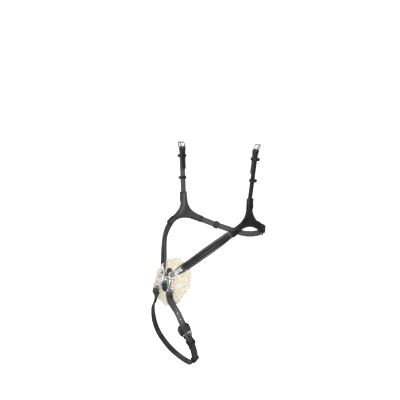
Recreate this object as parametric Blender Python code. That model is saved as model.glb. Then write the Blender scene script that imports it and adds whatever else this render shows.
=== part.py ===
"""Figure eight noseband of a riding bridle, buckled as it hangs on the head.

Lengths below are millimetres. X points to the wearer's left, -Y to the front of the nose and Z up.
The origin lies midway between the tops of the two cheek buckles.
"""

import math

import bmesh
import bpy
import numpy as np
from mathutils.geometry import delaunay_2d_cdt

METRES = 0.001
GAP = 0.3
LEATHER = 2.4
STRAP_WIDTH = 12.4
HALF_STACK = (LEATHER + GAP) / 2
STEP = 6.0
CORNER = 0.7

# The head that the straps lie on: the cheeks stand WIDEST apart at WIDEST_Y and curve in from there.
WIDEST = 91.0
WIDEST_Y = -27.0
CURVE_FRONT = 0.0074
CURVE_REAR = 0.0025
LEAN_FROM_Z = -115.0
LEAN = 0.05

# Cheek straps, from the buckle bar down to the jowl piece.
CHEEK_TOP = (102.0, -3.0, 0.0)
CHEEK_FOOT = (-8.8, -100.0)
CHEEK_BAR_DROP = 9.0
CHEEK_TURNBACK = 44.0
CHEEK_TUCK = 13.0
CHEEK_KEEPER_UP = 25.0
CHEEK_KEEPER_DOWN = {1: 66.0, -1: 71.0}

# Jowl piece, drawn in the (Y, Z) plane: four corners of the three arm ends and the flares between them.
ARM_TOP_FRONT = (-16.0, -100.0)
ARM_TOP_REAR = (-1.6, -100.0)
ARM_FRONT_TOP = (-58.7, -157.8)
ARM_FRONT_FOOT = (-51.3, -171.8)
ARM_REAR_FOOT = (32.6, -168.6)
ARM_REAR_TOP = (38.5, -155.6)
FLARE_FRONT = ((-16.3, -112.0), (-17.4, -124.0), (-21.6, -134.0), (-30.2, -142.4), (-43.4, -150.4))
FLARE_FOOT = (
    (-38.0, -162.0),
    (-27.0, -157.0),
    (-15.0, -155.5),
    (-4.0, -156.2),
    (5.0, -158.0),
    (14.5, -161.2),
    (23.6, -164.7),
)
FLARE_REAR = ((29.5, -151.7), (21.0, -147.3), (13.8, -142.6), (7.2, -136.4), (2.0, -127.5), (-1.0, -115.0))
OUTLINE_STEP = 4.0
JOWL_LIFT = LEATHER + 2 * GAP
LINING_EDGE = 1.7
LINING_CROWN = 2.9
LINING_ROLL = 2.4

# Nose straps: centreline from inside the jowl piece to the end near the centre fitting.
NOSE_ROUTE = (
    (-45.0, -158.9),
    (-57.0, -165.9),
    (-70.0, -176.0),
    (-84.0, -188.5),
    (-96.5, -201.0),
)
NOSE_TURN = (0.0, 0.0, 0.12, 0.35, 0.62)
NOSE_STEP = 4.5
NOSE_WIDTH = 17.6
NOSE_START_TAPER = 6.0
NOSE_START_REACH = 16.0
NOSE_TAPER = 10.6
NOSE_TAPER_REACH = 8.5
RAISED_WIDTH = 9.5
RAISED_HEIGHT = 3.4
NOSE_LINING = 3.8
NOSE_LINING_END = 26.0
NOSE_UNDER_JOWL = 17.6

# Centre: a plane that leans with the nose. Places on it are (across, up the face, out of the face).
CENTRE = (0.0, -140.35, -253.07)
FACE_UP = (0.0, 0.345, 0.9386)
FACE_OUT = (0.0, -0.9386, 0.345)
PAD_HALF_WIDTH = 46.0
PAD_HALF_HEIGHT = 43.5
PAD_UP = 1.0
PAD_THICK = 15.0
PAD_BEND_BELOW = (-5.0, 0.0085)
PAD_BEND_ABOVE = (12.0, 0.0075)
PAD_CUP = 0.002
PAD_GROOVE = 4.5
PAD_GROOVE_WIDTH = 12.0
BACKING_THICK = 2.2
BACKING_OUTLINE = (
    (0.0, 23.4),
    (2.9, 22.2),
    (4.1, 18.5),
    (4.0, 11.0),
    (9.0, 2.0),
    (11.0, -9.0),
    (9.4, -16.0),
    (5.4, -20.6),
    (0.0, -22.2),
)
BACKING_ROLL = 5.2
BAR_OUT = 2.8
CASTING_THICK = 4.4
CASTING_DOME = 1.6
CASTING_DOME_REACH = 12.5
UPPER_LUG = (15.0, 13.2)
LINK_WAY = (0.616, 0.547, 0.568)
LINK_OUT = (0.30, -0.85, 0.40)
LINK_THICK = 2.0
LINK_LENGTH = 21.0
LINK_CURL = 1.3
UPPER_BAR = 1.5
UPPER_BAR_LENGTH = 9.0
LOWER_LUG = (19.2, -24.0)
LOWER_BAR = 1.6
LOWER_BAR_LENGTH = 14.4
LUG_FOLD = LOWER_BAR + 0.3
PRONG = 2.4
SIDE_ARC = ((14.0, 5.4), (20.3, 3.4), (23.6, -2.2), (23.6, -8.5), (22.4, -15.5))
SIDE_WIRE = 1.1

# Chin strap: left half of the loop, each row a point and the way its outer face looks.
CHIN_ROUTE = (
    (19.2, -151.7, -281.0, 0.05, -0.99, -0.05),
    (20.4, -151.3, -286.5, 0.26, -0.96, -0.05),
    (25.6, -149.6, -294.5, 0.56, -0.82, -0.05),
    (33.0, -147.0, -305.0, 0.69, -0.72, 0.00),
    (40.0, -142.0, -323.0, 0.76, -0.64, 0.00),
    (44.5, -134.5, -344.0, 0.88, -0.42, -0.08),
    (44.4, -123.0, -366.0, 0.92, -0.20, -0.28),
    (39.6, -110.5, -388.0, 0.84, 0.05, -0.50),
    (29.5, -98.0, -407.5, 0.62, 0.25, -0.72),
    (15.5, -86.5, -422.0, 0.30, 0.40, -0.86),
)
CHIN_FOOT = (0.0, -81.0, -428.5, 0.0, 0.45, -0.89)
CHIN_HEEL = 92.0
CHIN_FRAME_LENGTH = 11.5
CHIN_TIP = 78.0
SAFE_BEND = 0.006
SAFE_OUTLINE = ((0.0, 26.0), (8.0, 25.4), (12.2, 20.5), (12.6, 13.0), (11.4, 6.0), (7.4, 1.0), (6.0, -4.0))

# Jaw strap: left half of its route round the back of the jaw.
JAW_TUCK = ((24.5, -157.4), (35.0, -162.0))
JAW_ROUTE = (
    (75.5, 45.5, -167.2),
    (66.5, 56.0, -172.8),
    (55.0, 65.5, -178.0),
    (40.5, 73.0, -182.6),
    (21.5, 78.3, -187.0),
)
JAW_BACK = (0.0, 80.0, -189.0)
JAW_CHAPE = 32.0
JAW_SLIDER = 46.0
JAW_SLIDER_LENGTH = 9.5

# Buckles: a wire frame whose heel bar lies in the fold of a strap.
WIRE = 1.2
FRAME_WIDTH = 16.4
FRAME_LENGTH = 13.0
FRAME_TILT = math.radians(15.0)
TONGUE_WIDTH = 2.6
TONGUE_THICK = 1.5
SLOT_WIDTH = 3.8
FOLD_RADIUS = WIRE + GAP + LEATHER / 2
FOLD_BLEND = 11.0

TONGUE_HOLE = (8.0, 3.4)
TONGUE_CROSSING = 4.6
SPARE_HOLE = (2.8, 2.7)
TIP_LENGTH = 8.0
TIP_SHARE = 0.28

KEEPER_LENGTH = 6.0
KEEPER_THICK = 1.5
KEEPER_ROOM = 3.2
CHIN_KEEPERS = (12.0, 62.0)
CHIN_FIXED_ROOM = (-3.2, 6.5)
CHIN_SLIDING_ROOM = (-0.3, 6.0)
JAW_FIXED_ROOM = (-3.8, 7.0)
JAW_SLIDING_ROOM = (-0.3, 3.0)

BLACK_LEATHER = ((0.018, 0.018, 0.020, 1.0), 0.42, 0.0)
LINING_LEATHER = ((0.045, 0.045, 0.047, 1.0), 0.55, 0.0)
CHROME = ((0.78, 0.78, 0.80, 1.0), 0.10, 1.0)
WOOL = ((0.78, 0.72, 0.60, 1.0), 0.95, 0.0)


def unit(vector):
    vector = np.asarray(vector, float)
    return vector / np.linalg.norm(vector)


def square_to(vector, axis):
    """The part of a vector square to an axis, at unit length."""
    vector = np.asarray(vector, float)
    return unit(vector - np.dot(vector, axis) * axis)


def smooth_step(value):
    value = np.clip(value, 0.0, 1.0)
    return value * value * (3.0 - 2.0 * value)


def clear_scene():
    for item in list(bpy.data.objects):
        bpy.data.objects.remove(item, do_unlink=True)


def paint(item, finish):
    colour, roughness, metallic = finish
    material = bpy.data.materials.new(item.name)
    material.use_nodes = True
    shader = material.node_tree.nodes["Principled BSDF"]
    shader.inputs["Base Color"].default_value = colour
    shader.inputs["Roughness"].default_value = roughness
    shader.inputs["Metallic"].default_value = metallic
    item.data.materials.clear()
    item.data.materials.append(material)


def solid(name, points, faces, finish, origin=(0.0, 0.0, 0.0)):
    """An object from points in millimetres, with its faces turned out and its origin where asked."""
    mesh = bpy.data.meshes.new(name)
    origin = np.asarray(origin, float)
    mesh.from_pydata([tuple((np.asarray(p) - origin) * METRES) for p in points], [], faces)
    shape = bmesh.new()
    shape.from_mesh(mesh)
    bmesh.ops.recalc_face_normals(shape, faces=shape.faces)
    shape.to_mesh(mesh)
    shape.free()
    item = bpy.data.objects.new(name, mesh)
    bpy.context.collection.objects.link(item)
    item.location = tuple(origin * METRES)
    shade(item)
    paint(item, finish)
    return item


def shade(item):
    for face in item.data.polygons:
        face.use_smooth = True
    item.data.set_sharp_from_angle(angle=math.radians(38))


def combine(item, others, operation):
    """Unites other objects with one, or cuts them from it, and removes them."""
    for other in others:
        step = item.modifiers.new("step", "BOOLEAN")
        step.operation = operation
        step.solver = "EXACT"
        step.object = other
    bpy.context.view_layer.update()
    evaluated = item.evaluated_get(bpy.context.evaluated_depsgraph_get())
    mesh = bpy.data.meshes.new_from_object(evaluated)
    item.modifiers.clear()
    item.data = mesh
    for other in others:
        bpy.data.objects.remove(other, do_unlink=True)
    shade(item)
    return item


def smooth_rows(rows, step=STEP):
    """Rows spaced evenly along a smooth curve through the given rows; the first three numbers are a point."""
    rows = np.array(rows, float)
    gaps = np.linalg.norm(np.diff(rows[:, :3], axis=0), axis=1)
    along = np.concatenate([[0.0], np.cumsum(gaps)])
    slopes = np.gradient(rows, along, axis=0)
    count = max(2, round(along[-1] / step) + 1)
    at = np.linspace(0.0, along[-1], count)
    left = np.clip(np.searchsorted(along, at, side="right") - 1, 0, len(along) - 2)
    span = (along[left + 1] - along[left])[:, None]
    f = (at - along[left])[:, None] / span
    start, end = rows[left], rows[left + 1]
    bend = (f**3 - 2 * f**2 + f) * span * slopes[left] + (f**3 - f**2) * span * slopes[left + 1]
    return (2 * f**3 - 3 * f**2 + 1) * start + (3 * f**2 - 2 * f**3) * end + bend


def lengths(rows):
    return np.concatenate([[0.0], np.cumsum(np.linalg.norm(np.diff(rows[:, :3], axis=0), axis=1))])


def mirrored(rows):
    """The same rows on the other side of the head."""
    rows = np.array(rows, float)
    rows[:, 0] *= -1
    if rows.shape[1] > 3:
        rows[:, 3] *= -1
    return rows


def squared(rows):
    """The same rows with each outward normal made square to the direction of travel."""
    rows = np.array(rows, float)
    ahead = np.gradient(rows[:, :3], axis=0)
    ahead /= np.linalg.norm(ahead, axis=1)[:, None]
    normals = rows[:, 3:6] - np.sum(rows[:, 3:6] * ahead, axis=1)[:, None] * ahead
    rows[:, 3:6] = normals / np.linalg.norm(normals, axis=1)[:, None]
    return rows


def lifted(rows, height):
    """Rows moved along their own outward normals."""
    rows = np.array(rows, float)
    rows[:, :3] += rows[:, 3:6] * np.reshape(height, (-1, 1))
    return rows


def cut_rows(rows, start, end):
    """The stretch of a route between two lengths along it, with its ends interpolated."""
    along = lengths(rows)
    inside = along[(along > start + 0.5) & (along < end - 0.5)]
    at = np.concatenate([[start], inside, [end]])
    return np.column_stack([np.interp(at, along, rows[:, i]) for i in range(rows.shape[1])])


def frames(rows):
    """Point, direction of travel, outward normal and sideways direction at each row."""
    points = rows[:, :3]
    ahead = np.gradient(points, axis=0)
    result = []
    for point, travel, normal in zip(points, ahead, rows[:, 3:6]):
        travel = unit(travel)
        normal = square_to(normal, travel)
        result.append((point, travel, normal, np.cross(normal, travel)))
    return result


def strap_section(width, thick, corner=CORNER, rounds=2, middle=False):
    """Corner-rounded rectangle as (across, out) pairs; middle adds a point halfway over each face."""
    section = []
    for across, out, turn in ((1, 1, 0), (-1, 1, 90), (-1, -1, 180), (1, -1, 270)):
        for i in range(rounds):
            angle = math.radians(turn + 90.0 * i / (rounds - 1))
            x = across * (width / 2 - corner) + corner * math.cos(angle)
            y = out * (thick / 2 - corner) + corner * math.sin(angle)
            section.append((x, y))
        if middle and across == out:
            section.append((0.0, out * thick / 2))
    return section


def rings_to_faces(rings, size, closed=False):
    """Side faces between rings of points, and end caps unless the rings run round."""
    faces = []
    for ring in range(rings if closed else rings - 1):
        after = (ring + 1) % rings
        for i in range(size):
            j = (i + 1) % size
            faces.append((ring * size + i, ring * size + j, after * size + j, after * size + i))
    if not closed:
        faces.append(tuple(range(size)))
        faces.append(tuple((rings - 1) * size + i for i in range(size)))
    return faces


def ribbon_faces(sections):
    """Faces of a strap. Every diagonal runs the same way, so straps that lie on each other twist alike."""
    size = len(sections[0])
    faces = []
    for ring, section in enumerate(sections[:-1]):
        for i in range(size):
            j = (i + 1) % size
            a, b, c, d = ring * size + i, ring * size + j, (ring + 1) * size + j, (ring + 1) * size + i
            if section[i][0] < section[j][0]:
                faces += [(a, b, c), (a, c, d)]
            else:
                faces += [(a, b, d), (b, c, d)]
    faces.append(tuple(range(size)))
    faces.append(tuple((len(sections) - 1) * size + i for i in range(size)))
    return faces


def ribbon(name, rows, sections, finish, origin=(0.0, 0.0, 0.0)):
    """A strap along rows; sections is one section for the whole length or one for each row."""
    stations = frames(rows)
    if isinstance(sections[0], tuple):
        sections = [sections] * len(stations)
    points = []
    for (point, _, normal, side), section in zip(stations, sections):
        points += [point + side * across + normal * out for across, out in section]
    return solid(name, points, ribbon_faces(sections), finish, origin)


def wire(name, path, radius, finish, closed=True, sides=10, origin=(0.0, 0.0, 0.0)):
    """Round wire along a path of points that stays near one plane."""
    path = np.array(path, float)
    spread = path - path.mean(axis=0)
    plane = np.linalg.svd(spread)[2][2]
    if closed:
        ahead = np.roll(path, -1, axis=0) - np.roll(path, 1, axis=0)
    else:
        ahead = np.gradient(path, axis=0)
    points = []
    for point, travel in zip(path, ahead):
        travel = unit(travel)
        up = square_to(plane, travel)
        side = np.cross(up, travel)
        for i in range(sides):
            angle = 2 * math.pi * i / sides
            points.append(point + radius * (math.cos(angle) * side + math.sin(angle) * up))
    return solid(name, points, rings_to_faces(len(path), sides, closed), finish, origin)


def cylinder(name, start, end, radius, finish, sides=20):
    """A round bar or boring between two points."""
    start = np.asarray(start, float)
    end = np.asarray(end, float)
    axis = unit(end - start)
    side = square_to((0.31, 0.52, 0.79), axis)
    up = np.cross(axis, side)
    points = []
    for centre in (start, end):
        for i in range(sides):
            angle = 2 * math.pi * i / sides
            points.append(centre + radius * (math.cos(angle) * side + math.sin(angle) * up))
    return solid(name, points, rings_to_faces(2, sides), finish)


def block(name, centre, axes, sizes, finish):
    """A box given by its centre, three directions and its full sizes along them."""
    centre = np.asarray(centre, float)
    a, b, c = (np.asarray(axis, float) * size / 2 for axis, size in zip(axes, sizes))
    points = [centre + i * a + j * b + k * c for i in (-1, 1) for j in (-1, 1) for k in (-1, 1)]
    faces = [(0, 1, 3, 2), (4, 5, 7, 6), (0, 1, 5, 4), (2, 3, 7, 6), (0, 2, 6, 4), (1, 3, 7, 5)]
    return solid(name, points, faces, finish)


def slot_cutter(name, centre, length_axis, through_axis, length, width, depth):
    """A round-ended slot, to be cut through a strap."""
    length_axis = unit(length_axis)
    through_axis = unit(through_axis)
    across = np.cross(through_axis, length_axis)
    radius = width / 2
    rim = []
    for sign in (1, -1):
        for i in range(7):
            angle = math.radians(-90 + 30 * i)
            reach = (length / 2 - radius + radius * math.cos(angle)) * sign
            rim.append(reach * length_axis + sign * radius * math.sin(angle) * across)
    points = []
    for level in (-depth / 2, depth / 2):
        points += [np.asarray(centre) + p + level * through_axis for p in rim]
    return solid(name, points, rings_to_faces(2, len(rim)), BLACK_LEATHER)


def outline_distance(points, outline):
    """How far inside a closed outline each point lies."""
    points = np.asarray(points, float)
    nearest = np.full(len(points), np.inf)
    for a, b in zip(outline, np.roll(outline, -1, axis=0)):
        edge = b - a
        f = np.clip(((points - a) @ edge) / (edge @ edge), 0.0, 1.0)
        gap = np.linalg.norm(points - a - f[:, None] * edge, axis=1)
        nearest = np.minimum(nearest, gap)
    return nearest


def inside(points, outline):
    """Whether each point lies within a closed outline."""
    result = np.zeros(len(points), bool)
    for (ax, ay), (bx, by) in zip(outline, np.roll(outline, -1, axis=0)):
        crosses = (ay > points[:, 1]) != (by > points[:, 1])
        rise = by - ay if by != ay else 1.0
        result ^= crosses & (points[:, 0] < (bx - ax) * (points[:, 1] - ay) / rise + ax)
    return result


def inset_ring(outline, distance):
    """Outline points moved inwards, without those that a tight corner would push too near an edge."""
    before = outline - np.roll(outline, 1, axis=0)
    after = np.roll(outline, -1, axis=0) - outline
    travel = before / np.linalg.norm(before, axis=1)[:, None] + after / np.linalg.norm(after, axis=1)[:, None]
    inward = np.column_stack([-travel[:, 1], travel[:, 0]])
    inward /= np.linalg.norm(inward, axis=1)[:, None]
    area = np.sum(outline[:, 0] * np.roll(outline[:, 1], -1) - outline[:, 1] * np.roll(outline[:, 0], -1))
    moved = outline + inward * distance * (1 if area > 0 else -1)
    keep = inside(moved, outline) & (outline_distance(moved, outline) > 0.9 * distance)
    return moved[keep]


def sheet(name, outline, insets, spacing, top, foot, place, finish, origin=(0.0, 0.0, 0.0)):
    """A sheet with the given outline. top and foot give its two faces' heights from the distance to the
    edge and the place; place turns a place and a height into a point."""
    outline = np.array(outline, float)
    spots = [outline] + [inset_ring(outline, distance) for distance in insets]
    low = outline.min(axis=0)
    high = outline.max(axis=0)
    grid = []
    for row, y in enumerate(np.arange(low[1] + spacing / 2, high[1], spacing * 0.87)):
        for x in np.arange(low[0] + spacing * (0.25 + 0.5 * (row % 2)), high[0], spacing):
            grid.append((x, y))
    grid = np.array(grid)
    deep = (insets[-1] if insets else 0.0) + spacing * 0.55
    spots.append(grid[inside(grid, outline) & (outline_distance(grid, outline) > deep)])
    spots = np.concatenate(spots)
    count = len(outline)
    edges = [(i, (i + 1) % count) for i in range(count)]
    flat = delaunay_2d_cdt([tuple(p) for p in spots], edges, [], 1, 1e-5)
    flat_points = np.array([tuple(p) for p in flat[0]])
    distance = outline_distance(flat_points, outline)
    distance[distance < 1e-3] = 0.0
    points = [place(p, top(d, p)) for p, d in zip(flat_points, distance)]
    points += [place(p, foot(d, p)) for p, d in zip(flat_points, distance)]
    total = len(flat_points)
    faces = [tuple(face) for face in flat[2]]
    rim = {}
    for face in faces:
        for a, b in zip(face, face[1:] + face[:1]):
            rim[(a, b)] = rim.get((b, a), 0) + 1
    border = [(a, b) for (a, b) in rim if (b, a) not in rim]
    faces += [tuple(i + total for i in reversed(face)) for face in flat[2]]
    faces += [(a + total, b + total, b, a) for a, b in border]
    return solid(name, points, faces, finish, origin)


def cheek_x(y, z):
    """How far the side of the head stands out at a place."""
    curve = CURVE_FRONT if y < WIDEST_Y else CURVE_REAR
    return WIDEST - curve * (y - WIDEST_Y) ** 2 + LEAN * max(0.0, z - LEAN_FROM_Z)


def cheek_normal(y, z):
    curve = CURVE_FRONT if y < WIDEST_Y else CURVE_REAR
    lean = -LEAN if z > LEAN_FROM_Z else 0.0
    return unit((1.0, 2 * curve * (y - WIDEST_Y), lean))


def on_cheek(side):
    """Puts a (Y, Z) place and a height on one cheek."""

    def place(spot, height):
        y, z = spot
        point = np.array((cheek_x(y, z), y, z)) + height * cheek_normal(y, z)
        point[0] *= side
        return point

    return place


def cheek_rows(route):
    rows = []
    for y, z in route:
        rows.append((cheek_x(y, z), y, z, *cheek_normal(y, z)))
    return np.array(rows)


def face_point(across, up, out):
    slope = up * np.array(FACE_UP) + out * np.array(FACE_OUT)
    return np.asarray(CENTRE) + np.array((across, 0.0, 0.0)) + slope


def curve_2d(points, step=OUTLINE_STEP):
    rows = [(a, b, 0.0) for a, b in points]
    return [tuple(row[:2]) for row in smooth_rows(rows, step)]


def jowl_outline():
    """Closed outline of the jowl piece: straight arm ends joined by flared curves."""
    front = curve_2d((ARM_TOP_FRONT, *FLARE_FRONT, ARM_FRONT_TOP))
    foot = curve_2d((ARM_FRONT_FOOT, *FLARE_FOOT, ARM_REAR_FOOT))
    rear = curve_2d((ARM_REAR_TOP, *FLARE_REAR, ARM_TOP_REAR))
    ends = ((ARM_FRONT_TOP, ARM_FRONT_FOOT), (ARM_REAR_FOOT, ARM_REAR_TOP), (ARM_TOP_REAR, ARM_TOP_FRONT))
    middle = [tuple((np.array(a) + b) / 2) for a, b in ends]
    return np.array(front + [middle[0]] + foot + [middle[1]] + rear + [middle[2]])


def tucked(spot):
    """How much of a strap's thickness lies under the jowl piece at a place, from none to all."""
    middles = (
        ((ARM_FRONT_TOP, ARM_FRONT_FOOT), 17.0),
        ((ARM_REAR_FOOT, ARM_REAR_TOP), 16.0),
        ((ARM_TOP_REAR, ARM_TOP_FRONT), 17.0),
    )
    hub = np.array((-8.0, -140.0))
    share = 0.0
    for (a, b), reach in middles:
        middle = (np.array(a) + b) / 2
        inward = unit(hub - middle)
        edge = np.array(b) - a
        square = np.array((-edge[1], edge[0]))
        square = unit(square * np.sign(square @ inward))
        depth = (np.asarray(spot) - middle) @ square
        aside = np.linalg.norm(np.asarray(spot) - middle - depth * square)
        if aside < 26.0:
            share = max(share, 1.0 - smooth_step((depth - reach) / 8.0))
    return share


def make_jowls():
    outline = jowl_outline()
    rolled = 0.5

    def outer_top(distance, spot):
        return GAP / 2 + LEATHER - rolled * math.exp(-distance / 0.5) + JOWL_LIFT * tucked(spot)

    def outer_foot(distance, spot):
        return GAP / 2 + 0.2 * math.exp(-distance / 0.5) + JOWL_LIFT * tucked(spot)

    def lining_top(distance, spot):
        return -GAP - 0.2 * math.exp(-distance / 0.5)

    def lining_foot(distance, spot):
        return -GAP - LINING_EDGE - LINING_CROWN * (1.0 - math.exp(-distance / LINING_ROLL))

    for side, word in ((1, "left"), (-1, "right")):
        place = on_cheek(side)
        sheet(f"jowl_outer_{word}", outline, (1.0,), 6.5, outer_top, outer_foot, place, BLACK_LEATHER)
        sheet(f"jowl_lining_{word}", outline, (1.2, 3.0), 7.5, lining_top, lining_foot, place, LINING_LEATHER)


def fold_arc(centre, along, out, radius, steps=8):
    """Rows round a bar, from its outer side past its far side to its inner side."""
    rows = []
    for i in range(1, steps):
        angle = math.pi * i / steps
        way = math.cos(angle) * out - math.sin(angle) * along
        rows.append((*(centre + radius * way), *way))
    return np.array(rows)


def folded(centre, start_fold=0.0, end_fold=0.0, start_bar=WIRE, end_bar=WIRE):
    """Rows of a strap that lies outside a centre route and turns back inside it round a bar at an end.
    A fold is the length turned back; the bar's axis is the route's own end point."""
    along = lengths(centre)
    total = along[-1]
    height = np.full(len(along), HALF_STACK)
    start_radius = start_bar + GAP + LEATHER / 2
    end_radius = end_bar + GAP + LEATHER / 2
    if start_fold:
        height += (start_radius - HALF_STACK) * (1.0 - smooth_step(along / FOLD_BLEND))
    if end_fold:
        height += (end_radius - HALF_STACK) * (1.0 - smooth_step((total - along) / FOLD_BLEND))
    main = lifted(centre, height)
    inner = lifted(centre, -height)
    inner[:, 3:6] *= -1
    stations = frames(centre)
    parts = [main]
    if start_fold:
        point, travel, normal, _ = stations[0]
        arc = fold_arc(point, travel, normal, start_radius)
        parts = [cut_rows(inner, 0.0, start_fold)[::-1], arc[::-1]] + parts
    if end_fold:
        point, travel, normal, _ = stations[-1]
        arc = fold_arc(point, -travel, normal, end_radius)
        parts += [arc, cut_rows(inner[::-1], 0.0, end_fold)]
    return np.concatenate(parts)


def buckle_frame(name, centre, along, out, side, length=FRAME_LENGTH):
    """A round-cornered wire frame. Its heel bar runs through the centre; the rest leans outwards."""
    forward = -along * math.cos(FRAME_TILT) + out * math.sin(FRAME_TILT)
    corner = 2.6
    half = FRAME_WIDTH / 2
    path = []
    for u, v, turn in ((half, 0.0, -90), (half, length, 0), (-half, length, 90), (-half, 0.0, 180)):
        inward_u = u - math.copysign(corner, u)
        inward_v = v + (corner if v == 0.0 else -corner)
        for i in range(4):
            angle = math.radians(turn + 30 * i)
            spot = (inward_u + corner * math.cos(angle), inward_v + corner * math.sin(angle))
            path.append(centre + side * spot[0] + forward * spot[1])
    return wire(name, path, WIRE, CHROME, origin=centre)


def buckle_tongue(name, centre, along, out, side, length=FRAME_LENGTH):
    """A flat tongue with an eye round the heel bar; its tip rests on the front bar."""
    reach = length + 1.4
    forward = -along * math.cos(FRAME_TILT) + out * math.sin(FRAME_TILT)
    lift = np.cross(side, forward)
    lift *= np.sign(lift @ out)
    eye = WIRE + GAP + TONGUE_THICK / 2
    rest = WIRE + GAP + TONGUE_THICK / 2
    rows = []
    for i in range(10):
        angle = math.radians(250 - 250 * i / 9)
        way = math.cos(angle) * lift - math.sin(angle) * forward
        rows.append((*(centre + eye * way), *way))
    start = np.array(rows[-1][:3])
    end = centre + forward * reach + lift * rest
    for f in (0.3, 0.65, 1.0):
        rows.append((*(start + f * (end - start)), *lift))
    section = strap_section(TONGUE_WIDTH, TONGUE_THICK, 0.4, 2)
    return ribbon(name, np.array(rows), section, CHROME, origin=centre)


def ring_rim(width, low, high, corner):
    """Round-cornered rectangle as (across, out) pairs between two heights."""
    rim = []
    middle = (low + high) / 2
    half = (high - low) / 2
    for across, out, turn in ((1, 1, 0), (-1, 1, 90), (-1, -1, 180), (1, -1, 270)):
        for i in range(4):
            angle = math.radians(turn + 30 * i)
            x = across * (width / 2 - corner) + corner * math.cos(angle)
            y = middle + out * (half - corner) + corner * math.sin(angle)
            rim.append((x, y))
    return rim


def keeper(name, centre, along, out, low, high, length=KEEPER_LENGTH, origin=(0.0, 0.0, 0.0)):
    """A leather band round a strap. low and high are the heights that it leaves free, measured outwards."""
    width = STRAP_WIDTH
    along = unit(along)
    out = square_to(out, along)
    side = np.cross(out, along)
    centre = np.asarray(centre, float)
    inner = ring_rim(width + 2 * GAP, low - GAP, high + GAP, 1.0)
    reach = GAP + KEEPER_THICK
    outer = ring_rim(width + 2 * reach, low - reach, high + reach, 2.0)
    bulge = 0.35
    levels = ((inner, -0.5), (outer, -0.5), (outer, -0.3), (outer, 0.3), (outer, 0.5), (inner, 0.5))
    middle = (low + high) / 2
    points = []
    for number, (rim, share) in enumerate(levels):
        shrink = bulge if number in (1, 4) else 0.0
        ring = centre + out * middle + along * share * length
        for across, height in rim:
            spot = np.array((across, height - middle))
            spot -= shrink * spot / np.linalg.norm(spot)
            points.append(ring + side * spot[0] + out * spot[1])
    faces = rings_to_faces(len(levels), len(inner), closed=True)
    return solid(name, points, faces, BLACK_LEATHER, origin=origin)


def cheek_line(side):
    """Bar centre, direction down the strap, outward normal and sideways direction."""
    top = np.array(CHEEK_TOP)
    foot = on_cheek(1)(CHEEK_FOOT, 0.0)
    out = cheek_normal(*CHEEK_FOOT)
    for spot in (top, foot, out):
        spot[0] *= side
    along = unit(foot - top)
    out = square_to(out, along)
    return top + along * CHEEK_BAR_DROP, foot, along, out, np.cross(out, along)


def tongue_slot(name, centre, along, out):
    """The slot that lets a tongue turn in the fold of a strap."""
    return slot_cutter(name, centre + along * 0.8, along, out, 14.0, SLOT_WIDTH, 12.0)


def make_cheek(side, word):
    bar, foot, along, out, across = cheek_line(side)
    length = np.linalg.norm(foot - bar)
    straight = [(*(bar + along * length * i / 15), *out) for i in range(16)]
    y, z = CHEEK_FOOT
    tuck = cheek_rows([(y, z - CHEEK_TUCK / 2), (y, z - CHEEK_TUCK)])
    centre = squared(np.concatenate([straight, tuck if side > 0 else mirrored(tuck)]))
    rows = folded(centre, start_fold=CHEEK_TURNBACK)
    strap = ribbon(f"cheek_strap_{word}", rows, strap_section(STRAP_WIDTH, LEATHER), BLACK_LEATHER)
    combine(strap, [tongue_slot("slot", bar, along, out)], "DIFFERENCE")
    buckle_frame(f"cheek_buckle_frame_{word}", bar, along, out, across)
    buckle_tongue(f"cheek_buckle_tongue_{word}", bar, along, out, across)
    low = -HALF_STACK - LEATHER / 2
    high = HALF_STACK + LEATHER / 2 + KEEPER_ROOM
    upper = bar + along * (CHEEK_KEEPER_UP - CHEEK_BAR_DROP)
    keeper(f"cheek_keeper_upper_{word}", upper, along, out, low, high)
    lower = bar + along * (CHEEK_KEEPER_DOWN[side] - CHEEK_BAR_DROP)
    single_low = HALF_STACK - LEATHER / 2
    keeper(f"cheek_keeper_lower_{word}", lower, along, out, single_low, high, origin=lower)


def nose_rows():
    """Route of the nose strap's underside layer, from the jowl piece to the centre fitting."""
    bar, way, out = link_frame()
    rows = cheek_rows(NOSE_ROUTE)
    share = np.array(NOSE_TURN)[:, None]
    rows[:, 3:6] = (1.0 - share) * rows[:, 3:6] + share * out
    rows = list(rows)
    under = out * (HALF_STACK + LEATHER / 2 + GAP + LINK_THICK / 2)
    for reach in (40.0, 24.0, 14.0, 5.0):
        rows.append(np.array((*(bar + way * reach - under), *out)))
    return squared(smooth_rows(rows, NOSE_STEP))


def link_frame(side=1):
    """Centre of an upper lug's bar, the way from it along the nose strap and the way out of the strap."""
    bar = face_point(*UPPER_LUG, BAR_OUT)
    way = unit(LINK_WAY)
    out = square_to(LINK_OUT, way)
    mirror = np.array((side, 1.0, 1.0))
    return bar * mirror, way * mirror, out * mirror


def make_nose(side, word):
    rows = nose_rows()
    if side < 0:
        rows = mirrored(rows)
    along = lengths(rows)
    total = along[-1]
    base = lifted(rows, np.full(len(rows), HALF_STACK))
    sections = []
    for s in along:
        start = NOSE_START_TAPER * math.exp(-s / NOSE_START_REACH)
        end = NOSE_TAPER * math.exp((s - total) / NOSE_TAPER_REACH)
        width = NOSE_WIDTH - start - end
        sections.append(strap_section(width, LEATHER, middle=True))
    ribbon(f"nose_strap_{word}", base, sections, BLACK_LEATHER)
    on_top = lifted(rows, np.full(len(rows), HALF_STACK + LEATHER / 2 + GAP))
    raised = cut_rows(on_top, NOSE_UNDER_JOWL, total - LINK_LENGTH + 3.5)
    ribbon(f"nose_strap_raised_{word}", raised, raised_section(), BLACK_LEATHER)
    below = lifted(rows, np.full(len(rows), -GAP / 2))
    under = cut_rows(below, NOSE_UNDER_JOWL + 0.4, total - NOSE_LINING_END)
    ribbon(f"nose_strap_lining_{word}", under, lining_section(), LINING_LEATHER)


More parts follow.
